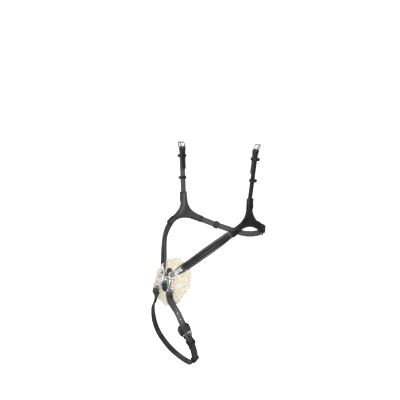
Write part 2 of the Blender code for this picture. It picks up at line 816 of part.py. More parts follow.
def raised_section():
    """A low arch with a flat foot."""
    half = RAISED_WIDTH / 2
    section = [(half, 0.0)]
    for i in range(7):
        angle = math.radians(10 + 160 * i / 6)
        section.append((half * math.cos(angle), RAISED_HEIGHT * math.sin(angle)))
    section += [(-half, 0.0), (0.0, 0.0)]
    return section


def lining_section():
    """A padded underlay: flat on the strap's side, rounded on the other."""
    half = NOSE_WIDTH / 2 - 1.1
    section = [(-half, 0.0), (-half, -1.4)]
    for i in range(1, 6):
        angle = math.radians(180 + 180 * i / 6)
        section.append(((half - 0.6) * math.cos(angle), -1.4 + (NOSE_LINING - 1.4) * math.sin(angle)))
    section += [(half, -1.4), (half, 0.0), (0.0, 0.0)]
    return section[::-1]


def chin_loop():
    """Centre route of the whole chin loop, from the right lower lug round to the left one."""
    start = face_point(*LOWER_LUG, BAR_OUT)
    left = np.array([(*start, 0.0, -0.98, -0.10), *CHIN_ROUTE])
    rows = np.concatenate([mirrored(left), [CHIN_FOOT], left[::-1]])
    count = 2 * round(lengths(rows)[-1] / STEP / 2)
    return squared(smooth_rows(rows, lengths(rows)[-1] / count))


def place_on(rows, along, distance):
    """Point, direction, normal and sideways direction on rows at a distance; along gives each row's own."""
    at = (distance - 1.0, distance, distance + 1.0)
    near = np.column_stack([np.interp(at, along, rows[:, i]) for i in range(rows.shape[1])])
    return frames(near)[1]


def lug_axis():
    """Middle of the line through both lower lug bars, on which the chin loop swings."""
    return face_point(0.0, LOWER_LUG[1], BAR_OUT)


def make_chin():
    axis = lug_axis()
    whole = chin_loop()
    left = whole[::-1][: len(whole) // 2 + 1]
    centre = cut_rows(whole, 0.0, lengths(whole)[-1] - CHIN_HEEL)
    rows = folded(centre, start_fold=24.0, end_fold=30.0, start_bar=LUG_FOLD)
    strap = ribbon("chin_strap", rows, strap_section(STRAP_WIDTH, LEATHER), BLACK_LEATHER, axis)
    point, travel, normal, _ = frames(centre)[-1]
    away = -travel
    across = np.cross(normal, away)
    combine(strap, [tongue_slot("slot", point, away, normal)], "DIFFERENCE")
    buckle_frame("chin_buckle_frame", point, away, normal, across, CHIN_FRAME_LENGTH)
    buckle_tongue("chin_buckle_tongue", point, away, normal, across, CHIN_FRAME_LENGTH)
    make_chin_billet(left, axis)
    make_chin_safe(point, away, normal, across, axis)
    along = lengths(left)
    spot, travel, normal, _ = place_on(left, along, CHIN_HEEL + CHIN_KEEPERS[0])
    keeper("chin_keeper_fixed", spot, travel, normal, *CHIN_FIXED_ROOM, length=7.0, origin=axis)
    spot, travel, normal, _ = place_on(left, along, CHIN_HEEL + CHIN_KEEPERS[1])
    keeper("chin_keeper_sliding", spot, travel, normal, *CHIN_SLIDING_ROOM, origin=spot)


def buckled_heights(distance, level, length=FRAME_LENGTH):
    """Heights of a billet over its centre route by the distance past the heel bar, negative before it."""
    under_front = math.sin(FRAME_TILT) * length - WIRE - 2 * GAP - LEATHER / 2
    over_heel = FOLD_RADIUS + LEATHER + 3 * GAP
    reach = math.cos(FRAME_TILT) * length
    knots = (-reach - 16.0, -reach, 0.0, FOLD_BLEND + 2.0)
    return np.interp(distance, knots, (HALF_STACK, under_front, over_heel, level))


def billet_sections(rows):
    """Strap sections that narrow to a rounded tip at the end."""
    sections = []
    for s in lengths(rows)[-1] - lengths(rows):
        share = 1.0 - min(s, TIP_LENGTH) / TIP_LENGTH
        width = STRAP_WIDTH * (TIP_SHARE + (1.0 - TIP_SHARE) * math.sqrt(1.0 - share * share))
        sections.append(strap_section(width, LEATHER))
    return sections


def punch(billet, rows, along, heel, places):
    """Cuts the tongue's hole, between the bars, and the spare holes at places past the heel bar."""
    cutters = []
    spot, travel, normal, _ = place_on(rows, along, heel - TONGUE_CROSSING)
    cutters.append(slot_cutter("hole", spot, travel, normal, *TONGUE_HOLE, 8.0))
    for place in places:
        spot, travel, normal, _ = place_on(rows, along, heel + place)
        cutters.append(slot_cutter("hole", spot, travel, normal, *SPARE_HOLE, 5.0))
    combine(billet, cutters, "DIFFERENCE")


def make_chin_billet(left, axis):
    fine = squared(smooth_rows(left, 3.5))
    centre = cut_rows(fine, 0.0, CHIN_HEEL + CHIN_TIP)
    along = lengths(centre)
    radius = LUG_FOLD + GAP + LEATHER / 2
    spread = (radius - HALF_STACK) * (1.0 - smooth_step(along / FOLD_BLEND))
    level = HALF_STACK + LEATHER + GAP + 0.2
    main = lifted(centre, buckled_heights(along - CHIN_HEEL, level, CHIN_FRAME_LENGTH) + spread)
    inner = cut_rows(lifted(centre, -HALF_STACK - spread), 0.0, 24.0)
    inner[:, 3:6] *= -1
    point, travel, normal, _ = frames(centre)[0]
    arc = fold_arc(point, travel, normal, radius)
    rows = np.concatenate([inner[::-1], arc[::-1], main])
    billet = ribbon("chin_billet", rows, billet_sections(rows), BLACK_LEATHER, axis)
    punch(billet, main, along, CHIN_HEEL, (-26.0, -39.0, -52.0, 28.0, 41.0))


def make_chin_safe(point, away, normal, across, axis):
    """The leather guard behind the buckle, held in the fold's stitching."""
    base = -HALF_STACK - LEATHER / 2 - GAP
    origin = point + normal * base

    def place(spot, height):
        drop = SAFE_BEND * max(0.0, spot[1]) ** 2
        return origin + across * spot[0] - away * spot[1] + normal * (height - drop)

    half = curve_2d(SAFE_OUTLINE, 3.0)
    outline = both_halves(half + [(6.0, -7.0)])
    sheet(
        "chin_buckle_safe",
        outline,
        (1.0,),
        7.0,
        lambda distance, spot: -0.3 * math.exp(-distance / 0.5) - 1.6,
        lambda distance, spot: 0.3 * math.exp(-distance / 0.5) - 1.6 - 1.8,
        place,
        BLACK_LEATHER,
        axis,
    )


def jaw_rows():
    """Route round the back of the jaw from the right jowl piece to the left one, with level normals."""
    left = np.concatenate([cheek_rows(JAW_TUCK)[:, :3], JAW_ROUTE])
    right = left * (-1.0, 1.0, 1.0)
    points = np.concatenate([right, [JAW_BACK], left[::-1]])
    rows = smooth_rows(points, STEP)
    travel = np.gradient(rows, axis=0)
    normals = np.column_stack([travel[:, 1], -travel[:, 0], np.zeros(len(rows))])
    middle = rows[:, :2].mean(axis=0)
    sign = np.sign(np.sum(normals[:, :2] * (rows[:, :2] - middle), axis=1))
    return squared(np.column_stack([rows, normals * sign[:, None]]))


def make_jaw():
    route = jaw_rows()
    total = lengths(route)[-1]
    heel = total - JAW_CHAPE
    chape_centre = cut_rows(route[::-1], 0.0, JAW_CHAPE)[::-1]
    rows = folded(chape_centre, start_fold=JAW_CHAPE - 14.5)
    chape = ribbon("jaw_chape", rows, strap_section(STRAP_WIDTH, LEATHER), BLACK_LEATHER)
    point, travel, normal, across = frames(chape_centre)[0]
    combine(chape, [tongue_slot("slot", point, travel, normal)], "DIFFERENCE")
    buckle_frame("jaw_buckle_frame", point, travel, normal, across)
    buckle_tongue("jaw_buckle_tongue", point, travel, normal, across)
    make_jaw_strap(route, total, heel)
    along = lengths(route)
    spot, travel, normal, _ = place_on(route, along, heel + 9.0)
    keeper("jaw_keeper_fixed", spot, travel, normal, *JAW_FIXED_ROOM, length=5.0)
    spot, travel, normal, _ = place_on(route, along, JAW_SLIDER)
    keeper("jaw_keeper_sliding", spot, travel, normal, *JAW_SLIDING_ROOM, length=JAW_SLIDER_LENGTH, origin=spot)


def make_jaw_strap(route, total, heel):
    fine = squared(smooth_rows(route, 3.5))
    along = lengths(fine)
    level = HALF_STACK + LEATHER + GAP + 0.2
    over_jowl = GAP / 2 + JOWL_LIFT + LEATHER + 2 * GAP + LEATHER / 2
    rise = (over_jowl - level) * smooth_step((along - total + 21.0) / 7.0)
    main = lifted(fine, buckled_heights(along - heel, level) + rise)
    strap = ribbon("jaw_strap", main, billet_sections(main), BLACK_LEATHER)
    punch(strap, main, along, heel, (-26.0, -39.0, -52.0))


def on_face(spot, height):
    return face_point(spot[0], spot[1], height)


def both_halves(half):
    """A closed outline from its right half, given from the top down."""
    left = [(-x, y) for x, y in half[::-1] if abs(x) > 1e-6]
    return np.array(half + left)


def make_fleece():
    turns = [2 * math.pi * i / 40 for i in range(40)]
    oval = [(PAD_HALF_WIDTH * math.cos(turn), PAD_HALF_HEIGHT * math.sin(turn)) for turn in turns]
    front = -2 * GAP - BACKING_THICK
    _, way, _ = link_frame()
    way = unit((way[0], np.dot(way, FACE_UP)))

    def bend(spot):
        up = spot[1] + PAD_UP
        below = PAD_BEND_BELOW[1] * min(0.0, up - PAD_BEND_BELOW[0]) ** 2
        above = PAD_BEND_ABOVE[1] * max(0.0, up - PAD_BEND_ABOVE[0]) ** 2
        return below + above + PAD_CUP * spot[0] ** 2

    def groove(spot):
        """How far a nose strap presses into the wool."""
        from_bar = np.array((abs(spot[0]), spot[1] + PAD_UP)) - UPPER_LUG
        reach = from_bar @ way
        aside = from_bar[0] * way[1] - from_bar[1] * way[0]
        return PAD_GROOVE * smooth_step(reach / 14.0) * math.exp(-((aside / PAD_GROOVE_WIDTH) ** 2))

    def top(distance, spot):
        return front - bend(spot) - groove(spot) - 5.0 * math.exp(-distance / 2.6)

    def foot(distance, spot):
        return front - bend(spot) - PAD_THICK + 5.5 * math.exp(-distance / 4.0)

    def place(spot, height):
        return face_point(spot[0], spot[1] + PAD_UP, height)

    sheet("fleece_pad", oval, (1.5, 4.5, 10.0), 10.0, top, foot, place, WOOL)


def make_backing():
    """Leather between the casting and the pad: rolled over above the casting, a round tab below it."""
    half = curve_2d(BACKING_OUTLINE, 2.8)

    def top(distance, spot):
        rolled = smooth_step((spot[1] - 11.2) / 2.2)
        edge = 0.4 * math.exp(-distance / 0.5) + 2.4 * rolled * math.exp(-distance / 1.3)
        return BACKING_ROLL * rolled - GAP - edge

    def foot(distance, spot):
        return -GAP - BACKING_THICK + 0.3 * math.exp(-distance / 0.5)

    sheet("centre_backing", both_halves(half), (0.8, 2.0), 5.0, top, foot, on_face, BLACK_LEATHER)


def casting_half():
    """Right half of the casting's outline: waisted between an upper and a lower arm."""
    notch = curve_2d(((0.0, 6.2), (3.4, 8.2), (6.2, 13.9)), 2.5)
    waist = curve_2d(((16.4, 4.5), (12.8, 1.2), (11.8, -4.0), (14.2, -9.6), (20.6, -13.3), (28.3, -14.6)), 2.5)
    foot = curve_2d(((11.4, -18.2), (9.4, -12.2), (5.2, -8.4), (0.0, -7.2)), 2.5)
    return notch + waist + [(28.3, -18.2)] + foot


def make_casting():
    """The chrome centre: a domed body, two lugs above for the links, two below for the chin strap."""

    def top(distance, spot):
        dome = CASTING_DOME * max(0.0, 1.0 - (spot[0] / CASTING_DOME_REACH) ** 2)
        return CASTING_THICK + dome - 1.9 * math.exp(-distance / 1.6)

    def foot(distance, spot):
        return 0.4 * math.exp(-distance / 0.8)

    body = sheet("centre_casting", both_halves(casting_half()), (0.8, 2.2), 4.5, top, foot, on_face, CHROME)
    extras = []
    for side in (1, -1):
        bar, way, out = link_frame(side)
        across = np.cross(out, way)
        half = UPPER_BAR_LENGTH / 2
        for sign in (1, -1):
            middle = bar - way * 3.2 + across * sign * (half + PRONG / 2)
            extras.append(block("prong", middle, (way, across, out), (9.6, PRONG, 3.2), CHROME))
        ends = [bar + across * sign * (half + PRONG * 0.6) for sign in (1, -1)]
        extras.append(cylinder("bar", *ends, UPPER_BAR, CHROME))
        x, up = LOWER_LUG
        half = LOWER_BAR_LENGTH / 2
        for sign in (1, -1):
            middle = face_point(side * x + sign * (half + PRONG / 2), up + 3.2, BAR_OUT)
            extras.append(block("prong", middle, ((1, 0, 0), FACE_UP, FACE_OUT), (PRONG, 10.0, 3.3), CHROME))
        ends = [face_point(side * x + sign * (half + PRONG * 0.6), up, BAR_OUT) for sign in (1, -1)]
        extras.append(cylinder("bar", *ends, LOWER_BAR, CHROME))
        arc = smooth_rows([(side * a, b, 0.0) for a, b in SIDE_ARC], 2.5)
        path = [face_point(a, b, BAR_OUT - 0.2) for a, b, _ in arc]
        extras.append(wire("arc", path, SIDE_WIRE, CHROME, closed=False, sides=8))
    combine(body, extras, "UNION")


def make_links():
    """Tapered plates that join the nose straps to the casting's upper lugs, each curled round its bar."""
    for side, word in ((1, "left"), (-1, "right")):
        bar, way, out = link_frame(side)
        across = np.cross(out, way)
        curl = UPPER_BAR + GAP + LINK_CURL
        narrow = UPPER_BAR_LENGTH / 2 - 0.4
        neck = narrow - 0.3
        half = [(neck, 1.0), (neck, 5.5), (3.6, 10.0), (3.9, LINK_LENGTH - 1.6), (3.1, LINK_LENGTH)]
        outline = np.array([(a, b) for a, b in half] + [(-a, b) for a, b in half[::-1]])

        def place(spot, height):
            return bar + across * spot[0] + way * spot[1] + out * height

        def top(distance, spot):
            return LINK_THICK / 2 + 0.5 - 0.9 * math.exp(-distance / 1.2)

        def foot(distance, spot):
            return -LINK_THICK / 2

        plate = sheet(f"nose_link_{word}", outline, (0.8, 2.0), 4.0, top, foot, place, CHROME)
        knuckle = cylinder("knuckle", bar - across * narrow, bar + across * narrow, curl, CHROME)
        combine(plate, [knuckle], "UNION")
        reach = across * (narrow + 2.0)
        bore = cylinder("bore", bar - reach, bar + reach, UPPER_BAR + GAP, CHROME)
        combine(plate, [bore], "DIFFERENCE")


def make_rivet():
    rings = []
    foot = CASTING_THICK + CASTING_DOME + GAP
    for radius, height in ((4.2, 0.0), (4.2, 0.9), (3.6, 1.7), (2.2, 2.3)):
        for i in range(20):
            angle = 2 * math.pi * i / 20
            across = radius * math.cos(angle)
            rings.append(face_point(across, 1.0 + radius * math.sin(angle), foot + height))
    solid("centre_rivet", rings, rings_to_faces(4, 20), CHROME)


def make_centre():
    make_fleece()
    make_backing()
    make_casting()
    make_links()
    make_rivet()


def main():
    clear_scene()
    make_jowls()
    for side, word in ((1, "left"), (-1, "right")):
        make_cheek(side, word)
        make_nose(side, word)
    make_chin()
    make_jaw()
    make_centre()


main()
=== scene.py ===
"""Looks of a figure eight noseband: leather, thread, chrome and wool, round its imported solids.

Shapes are worked out in millimetres and turned into metres when a mesh is made. X points to the wearer's
left, -Y to the front of the nose and Z up. A route is a list of rows, each a point and an outward normal.
"""

import math
import random

import bmesh
import bpy
import numpy as np
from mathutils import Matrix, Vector
from mathutils.geometry import delaunay_2d_cdt


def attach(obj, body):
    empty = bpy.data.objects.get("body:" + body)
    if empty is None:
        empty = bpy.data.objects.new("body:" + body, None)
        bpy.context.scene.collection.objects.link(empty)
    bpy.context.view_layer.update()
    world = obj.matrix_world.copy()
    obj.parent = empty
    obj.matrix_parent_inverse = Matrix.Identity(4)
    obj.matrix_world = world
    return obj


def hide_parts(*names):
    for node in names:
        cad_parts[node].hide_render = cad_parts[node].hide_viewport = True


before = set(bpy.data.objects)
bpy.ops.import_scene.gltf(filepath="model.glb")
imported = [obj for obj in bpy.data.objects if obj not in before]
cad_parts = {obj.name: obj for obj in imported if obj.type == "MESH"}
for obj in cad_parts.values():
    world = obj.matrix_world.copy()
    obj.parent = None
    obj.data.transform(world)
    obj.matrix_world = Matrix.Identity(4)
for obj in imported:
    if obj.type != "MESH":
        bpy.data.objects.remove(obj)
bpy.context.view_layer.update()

METRES = 0.001
SIDES = ((1, "left"), (-1, "right"))
CORNERS = ((1, 1, 0), (-1, 1, 90), (-1, -1, 180), (1, -1, 270))
STEP = 6.0
CLOSE_STEP = 3.5
FINE_STEP = 1.9
SEAM_STEP = 1.5
TOUCHING = 1e-6
END_ROOM = 0.5
SIDEWAYS = (0.31, 0.52, 0.79)
SLOT_STEPS = 10
INSET_KEPT = 0.9
SHEET_ROW = 0.87
SHEET_STAGGER = (0.25, 0.75)
SHEET_MERGE = 1e-5
SHEET_EDGE = 1e-3
SHEET_CLEAR = 0.55
SHEET_RUB = 0.9

# Leather, its pressed creases and its seams. A pair of numbers at an edge is a height and its reach.
GAP = 0.3
LEATHER = 2.4
STRAP_WIDTH = 12.4
HALF_STACK = (LEATHER + GAP) / 2
CORNER = 0.85
CROWN = ((0.45, 0.096), (0.0, 0.12))
CREASE = 1.7
CREASE_DEPTH = 0.22
CREASE_LIPS = (0.45, 0.5)
EDGE_RUB = 1.0
SHOULDER_RUB = 0.55
CREASE_RUB = 0.35
STITCH_PITCH = 2.9
STITCH_LENGTH = 2.1
THREAD = 0.32
# Each place along a stitch, its share of the thread's thickness and its height over the leather
STITCH = ((0.0, 0.30, -0.30), (0.18, 0.85, 0.04), (0.5, 1.0, 0.12), (0.82, 0.85, 0.04), (1.0, 0.30, -0.30))
SEAM_START = 8.0
ROUNDED = (0.5, 0.4)

# Curve of the side of the head
WIDEST = 91.0
WIDEST_Y = -27.0
CURVE_FRONT = 0.0074
CURVE_REAR = 0.0025
LEAN_FROM_Z = -115.0
LEAN = 0.05

# Cheek straps
CHEEK_TOP = (102.0, -3.0, 0.0)
CHEEK_FOOT = (-8.8, -100.0)
CHEEK_BAR_DROP = 9.0
CHEEK_TURNBACK = 44.0
CHEEK_TUCK = 13.0
CHEEK_SPANS = 15
CHEEK_SEAM_SHORT = (3.0, 2.0)
CHEEK_KEEPER_UP = 25.0
CHEEK_KEEPER_DOWN = {1: 66.0, -1: 71.0}

# Jowl pieces
ARM_TOP_FRONT = (-16.0, -100.0)
ARM_TOP_REAR = (-1.6, -100.0)
ARM_FRONT_TOP = (-58.7, -157.8)
ARM_FRONT_FOOT = (-51.3, -171.8)
ARM_REAR_FOOT = (32.6, -168.6)
ARM_REAR_TOP = (38.5, -155.6)
ARM_ENDS = ((ARM_FRONT_TOP, ARM_FRONT_FOOT), (ARM_REAR_FOOT, ARM_REAR_TOP), (ARM_TOP_REAR, ARM_TOP_FRONT))
FLARE_FRONT = ((-16.3, -112.0), (-17.4, -124.0), (-21.6, -134.0), (-30.2, -142.4), (-43.4, -150.4))
FLARE_FOOT = (
    (-38.0, -162.0),
    (-27.0, -157.0),
    (-15.0, -155.5),
    (-4.0, -156.2),
    (5.0, -158.0),
    (14.5, -161.2),
    (23.6, -164.7),
)
FLARE_REAR = ((29.5, -151.7), (21.0, -147.3), (13.8, -142.6), (7.2, -136.4), (2.0, -127.5), (-1.0, -115.0))
OUTLINE_STEP = 2.0
JOWL_HUB = (-8.0, -140.0)
JOWL_LIFT = LEATHER + 2 * GAP
TUCK_REACH = (17.0, 16.0, 17.0)
TUCK_RAMP = 8.0
TUCK_HALF_WIDTH = 26.0
JOWL_RINGS = (0.35, 0.9, 1.6, 2.0, 2.3, 2.6, 3.1, 4.0, 5.2)
JOWL_SPACING = 2.6
JOWL_SEAM = 2.3
JOWL_SWELL = (0.35, 2.5)
JOWL_ROLL = (0.9, 0.45)
JOWL_DENT = (0.3, 0.5)
JOWL_THIN = 0.2
LINING_EDGE = 1.5
LINING_CROWN_FROM = 2.6
LINING_CROWN = (4.2, 2.2)
LINING_ROLL = (0.7, 0.45)
LINING_DENT = (0.35, 0.5)

# Nose straps
NOSE_ROUTE = ((-45.0, -158.9), (-57.0, -165.9), (-70.0, -176.0), (-84.0, -188.5), (-96.5, -201.0))
NOSE_TURN = (0.0, 0.0, 0.12, 0.35, 0.62)
NOSE_BEFORE_BAR = (40.0, 24.0, 14.0, 5.0)
NOSE_STEP = 4.5
NOSE_WIDTH = 17.6
NOSE_START_TAPER = (6.0, 16.0)
NOSE_END_TAPER = (10.6, 8.5)
NOSE_UNDER_JOWL = 17.6
NOSE_SEAM_END = 12.0
RAISED_WIDTH = 9.5
RAISED_HEIGHT = 3.4
RAISED_FOOT = 0.75
RAISED_END = 3.5
RAISED_SEAM = 0.9
# The flange's inset, height and rub; its rub of one gives it the padded leather's darkest edge tone, painted
# shade in the trough beside the raised centre.
FLANGE = ((0.0, 0.0, 1.0), (0.0, 0.55, 1.0), (0.35, 0.85, 0.6))
ARCH_INSET = 0.7
ARCH_SPAN = (8, 164)
ARCH_STEPS = 14
ARCH_FULLNESS = 0.75
NOSE_LINING = 3.8
NOSE_LINING_END = 26.0
NOSE_LINING_START = 0.4
NOSE_LINING_INSET = 1.1
NOSE_LINING_SIDE = 1.0
NOSE_LINING_TUCK = 0.3
NOSE_LINING_RUB = 0.8
NOSE_LINING_STEPS = 12

# Centre fitting and its tab
ACROSS = np.array((1.0, 0.0, 0.0))
CENTRE = np.array((0.0, -140.35, -253.07))
FACE_UP = np.array((0.0, 0.345, 0.9386))
FACE_OUT = np.array((0.0, -0.9386, 0.345))
BACKING_THICK = 2.2
BACKING_OUTLINE = (
    (0.0, 23.4),
    (2.9, 22.2),
    (4.1, 18.5),
    (4.0, 11.0),
    (9.0, 2.0),
    (11.0, -9.0),
    (9.4, -16.0),
    (5.4, -20.6),
    (0.0, -22.2),
)
BACKING_STEP = 1.6
BACKING_ROLL = 5.2
BACKING_ROLL_FROM = 11.2
BACKING_ROLL_RAMP = 2.2
BACKING_ROLL_SIDE = (2.4, 1.3)
BACKING_EDGE = (0.5, 0.5)
BACKING_DENT = (0.25, 0.4)
BACKING_FOOT_EDGE = (0.3, 0.5)
BACKING_RINGS = (0.4, 1.0, 1.7, 2.4)
BACKING_SEAM = 1.7
BACKING_SPACING = 3.0
CASTING_NOTCH = ((0.0, 6.2), (3.4, 8.2), (6.2, 13.9))
CASTING_WAIST = ((16.4, 4.5), (12.8, 1.2), (11.8, -4.0), (14.2, -9.6), (20.6, -13.3), (28.3, -14.6))
CASTING_ARM_END = (28.3, -18.2)
CASTING_FOOT = ((11.4, -18.2), (9.4, -12.2), (5.2, -8.4), (0.0, -7.2))
CASTING_STEP = 2.5
CASTING_THICK = 4.4
CASTING_PROUD = 0.3
CASTING_DOME = 1.6
CASTING_DOME_REACH = 12.5
CASTING_SHOULDER = (2.2, 1.7)
CASTING_BACK_EDGE = (0.5, 0.8)
CASTING_RINGS = (0.4, 1.0, 2.0, 3.2)
CASTING_SPACING = 2.2
MELT = 0.36
MELT_PASSES = 12
MELT_FACTOR = 0.5
MELT_SHARP = 60.0
BAR_OUT = 2.8
UPPER_LUG = (15.0, 13.2)
UPPER_BAR = 1.5
UPPER_BAR_LENGTH = 9.0
UPPER_PRONG = (0.4, -8.0)
LOWER_LUG = (19.2, -24.0)
LOWER_BAR = 1.6
LOWER_BAR_LENGTH = 14.4
LOWER_PRONG = (-0.4, 8.2)
LUG_FOLD = LOWER_BAR + 0.3
PRONG = 2.4
BAR_INTO_PRONG = 0.6
PRONG_RADIUS = 1.35
SIDE_ARC = ((14.0, 5.4), (20.3, 3.4), (23.6, -2.2), (23.6, -8.5), (22.4, -15.5))
SIDE_ARC_STEP = 1.2
SIDE_ARC_BACK = 0.2
SIDE_WIRE = 1.1
LINK_WAY = (0.616, 0.547, 0.568)
LINK_OUT = (0.30, -0.85, 0.40)
LINK_THICK = 2.0
LINK_LENGTH = 21.0
LINK_CURL = 1.3
LINK_CLEAR = 0.4
LINK_NECK_IN = 0.3
LINK_BORE_PAST = 2.0
LINK_SIDES = 36
LINK_SPREAD = ((3.1, 0.0), (3.9, -1.6))
LINK_WAIST = (3.6, 10.0)
LINK_NECK = (5.5, 1.0)
LINK_STEP = 1.5
LINK_CROWN = 0.7
LINK_SHOULDER = (1.3, 1.1)
LINK_BACK_EDGE = (0.2, 0.4)
LINK_RINGS = (0.4, 0.9, 1.6, 2.6)
LINK_SPACING = 2.2
RIVET_UP = 1.0
RIVET_RINGS = (
    (4.2, 0.0),
    (4.2, 0.6),
    (4.1, 0.85),
    (3.8, 1.3),
    (3.2, 1.75),
    (2.2, 2.15),
    (1.1, 2.35),
    (0.3, 2.4),
)
RIVET_SIDES = 40

# Fleece pad
PAD_HALF_WIDTH = 46.0
PAD_HALF_HEIGHT = 43.5
PAD_UP = 1.0
PAD_THICK = 15.0
PAD_BEND_BELOW = (-5.0, 0.0085)
PAD_BEND_ABOVE = (12.0, 0.0075)
PAD_CUP = 0.002
PAD_GROOVE = 4.5
PAD_GROOVE_WIDTH = 12.0
PAD_GROOVE_RAMP = 14.0
PAD_CUT = 1.5
PAD_WAVES = ((1.6, 3, 0.7), (1.1, 7, 2.1), (0.7, 13, 0.0))
PAD_RINGS = 15
PAD_SIDES = 72
PAD_SKIN = 2.0
PAD_FACES = (0.8, 0.5)
PAD_EDGE_FULLNESS = (0.55, 0.8)
PAD_LEAST_RING = 0.02
PAD_LUMP = 0.4
# Each wave of the lumps: how fast it changes outwards, and how often round the pad
LUMP_WAVES = ((0.55, 3), (0.2, 5))
# How much of the paler wool tone the pad's skin takes; the rest is the darker root tone, painted shade deep
# in the fleece.
PAD_ROOT_SHADE = 0.25
WOOL_SEED = 41
LOCKS = 2600
FRONT_LOCKS = 0.36
EDGE_LOCKS = 0.68
LONG_WOOL = ((-90.0, 0.7), (-138.0, 1.2), (100.0, 0.7))
LONG_WOOL_FROM = 0.75
FRONT_ROOTS = (0.04, 0.97)
EDGE_ROOTS = (0.90, 0.98)
BACK_ROOTS = (0.0, 0.97)
FRONT_ROOT_DEPTH = 1.2
EDGE_ROOT_DEPTH = (2.0, PAD_THICK - 2.0)
BACK_ROOT_DEPTH = PAD_THICK - 1.5
EDGE_FACING = (-0.4, 0.4)
FRONT_OUTWARD = (0.55, 0.5)
BACK_OUTWARD = (0.3, 0.4)
LOCK_SIDEWAYS = (0.3, 0.8, 0.5)
# Lock tone from root to tip: darker at the root by painted shade where the locks crowd.
LOCK_SHADE = (0.55, 0.45)
LOCK_STRAY = 0.42
LOCK_OUT = 0.55
LOCK_LEVELS = 7
LOCK_SIDES = 6
LOCK_LENGTH = (4.5, 8.0)
FRONT_LOCK_LENGTH = (4.0, 6.5)
LOCK_THICK = (0.7, 1.3)
LOCK_WAVE = (0.5, 1.3)
LOCK_TONE = (0.55, 1.0)
LOCK_ROOT = 0.12
LOCK_CURL = 5.0
LOCK_TWIST = 2.0
LOCK_TAPER = (0.9, 0.78, 1.4)

# Chin loop
CHIN_START_FACE = (0.0, -0.98, -0.10)
CHIN_ROUTE = (
    (19.2, -151.7, -281.0, 0.05, -0.99, -0.05),
    (20.4, -151.3, -286.5, 0.26, -0.96, -0.05),
    (25.6, -149.6, -294.5, 0.56, -0.82, -0.05),
    (33.0, -147.0, -305.0, 0.69, -0.72, 0.00),
    (40.0, -142.0, -323.0, 0.76, -0.64, 0.00),
    (44.5, -134.5, -344.0, 0.88, -0.42, -0.08),
    (44.4, -123.0, -366.0, 0.92, -0.20, -0.28),
    (39.6, -110.5, -388.0, 0.84, 0.05, -0.50),
    (29.5, -98.0, -407.5, 0.62, 0.25, -0.72),
    (15.5, -86.5, -422.0, 0.30, 0.40, -0.86),
)
CHIN_FOOT = (0.0, -81.0, -428.5, 0.0, 0.45, -0.89)
FAR_CHIN_FACES = (
    (-0.60, -0.80, -0.05),
    (-0.84, -0.54, -0.05),
    (-0.93, -0.36, -0.02),
    (-0.96, -0.22, -0.08),
    (-0.97, -0.08, -0.15),
    (-0.95, -0.05, -0.28),
)
FAR_CHIN_TURNED = slice(2, 8)
FAR_CHIN_MOVED = slice(3, 7)
FAR_CHIN_SHIFT = 1.3
CHIN_HEEL = 92.0
CHIN_FRAME_LENGTH = 11.5
CHIN_TIP = 78.0
CHIN_HOLES = (-26.0, -39.0, -52.0, 28.0, 41.0)
LUG_TURNBACK = 24.0
LUG_SEAM_END = 22.0
CHIN_TURNBACK = 30.0
CHIN_BUCKLE_SEAM = (28.0, 9.0)
SAFE_BEND = 0.006
SAFE_OUTLINE = ((0.0, 26.0), (8.0, 25.4), (12.2, 20.5), (12.6, 13.0), (11.4, 6.0), (7.4, 1.0), (6.0, -4.0))
SAFE_TAIL = (6.0, -7.0)
SAFE_STEP = 1.5
SAFE_FRONT = -1.6
SAFE_BACK = -3.4
SAFE_SEAM = 1.8
SAFE_DENT = (0.25, 0.4)
SAFE_RINGS = (0.35, 0.8, 1.4, 1.8, 2.2, 2.8)
SAFE_SPACING = 2.4

# Jaw strap
JAW_TUCK = ((24.5, -157.4), (35.0, -162.0))
JAW_ROUTE = (
    (75.5, 45.5, -167.2),
    (66.5, 56.0, -172.8),
    (55.0, 65.5, -178.0),
    (40.5, 73.0, -182.6),
    (21.5, 78.3, -187.0),
)
JAW_BACK = (0.0, 80.0, -189.0)
JAW_CHAPE = 32.0
JAW_CHAPE_OPEN = 14.5
JAW_HOLES = (-26.0, -39.0, -52.0)
JAW_RISE_FROM = 21.0
JAW_RISE_RAMP = 7.0

# Buckles, billets and keepers
WIRE = 1.2
FRAME_WIDTH = 16.4
FRAME_LENGTH = 13.0
FRAME_CORNER = 2.6
FRAME_TILT = math.radians(15.0)
FRAME_CORNER_STEPS = 8
KEEPER_CORNER_STEPS = 3
STRAP_CORNER_RUBS = (SHOULDER_RUB, EDGE_RUB, EDGE_RUB, EDGE_RUB, SHOULDER_RUB)
TONGUE_WIDTH = 2.6
TONGUE_THICK = 1.5
TONGUE_PAST = 1.4
TONGUE_CURL = 250.0
TONGUE_CURL_STEPS = 13
TONGUE_RUN = (0.3, 0.65, 0.9, 1.0)
TONGUE_POINT = (0.9, 0.62)
TONGUE_STEP = 0.7
TONGUE_HOLE = (8.0, 3.4, 8.0)
TONGUE_CROSSING = 4.6
FOLD_SLOT = (14.0, 3.8, 12.0)
FOLD_SLOT_PAST = 0.8
FOLD_RADIUS = WIRE + GAP + LEATHER / 2
FOLD_BLEND = 11.0
FOLD_STEPS = 8
PUNCHED_HOLE = (1.8, 1.8, 5.0)
TIP_LENGTH = 8.0
TIP_SHARE = 0.28
TIP_PLACES = (1.0, 0.7, 0.45, 0.25, 0.1, 0.0)
BILLET_LEVEL = HALF_STACK + LEATHER + GAP + 0.2
BILLET_SETTLE = (16.0, 2.0)
KEEPER_LENGTH = 6.0
KEEPER_THICK = 1.5
KEEPER_ROOM = 3.2
KEEPER_CORNERS = (1.0, 2.1)
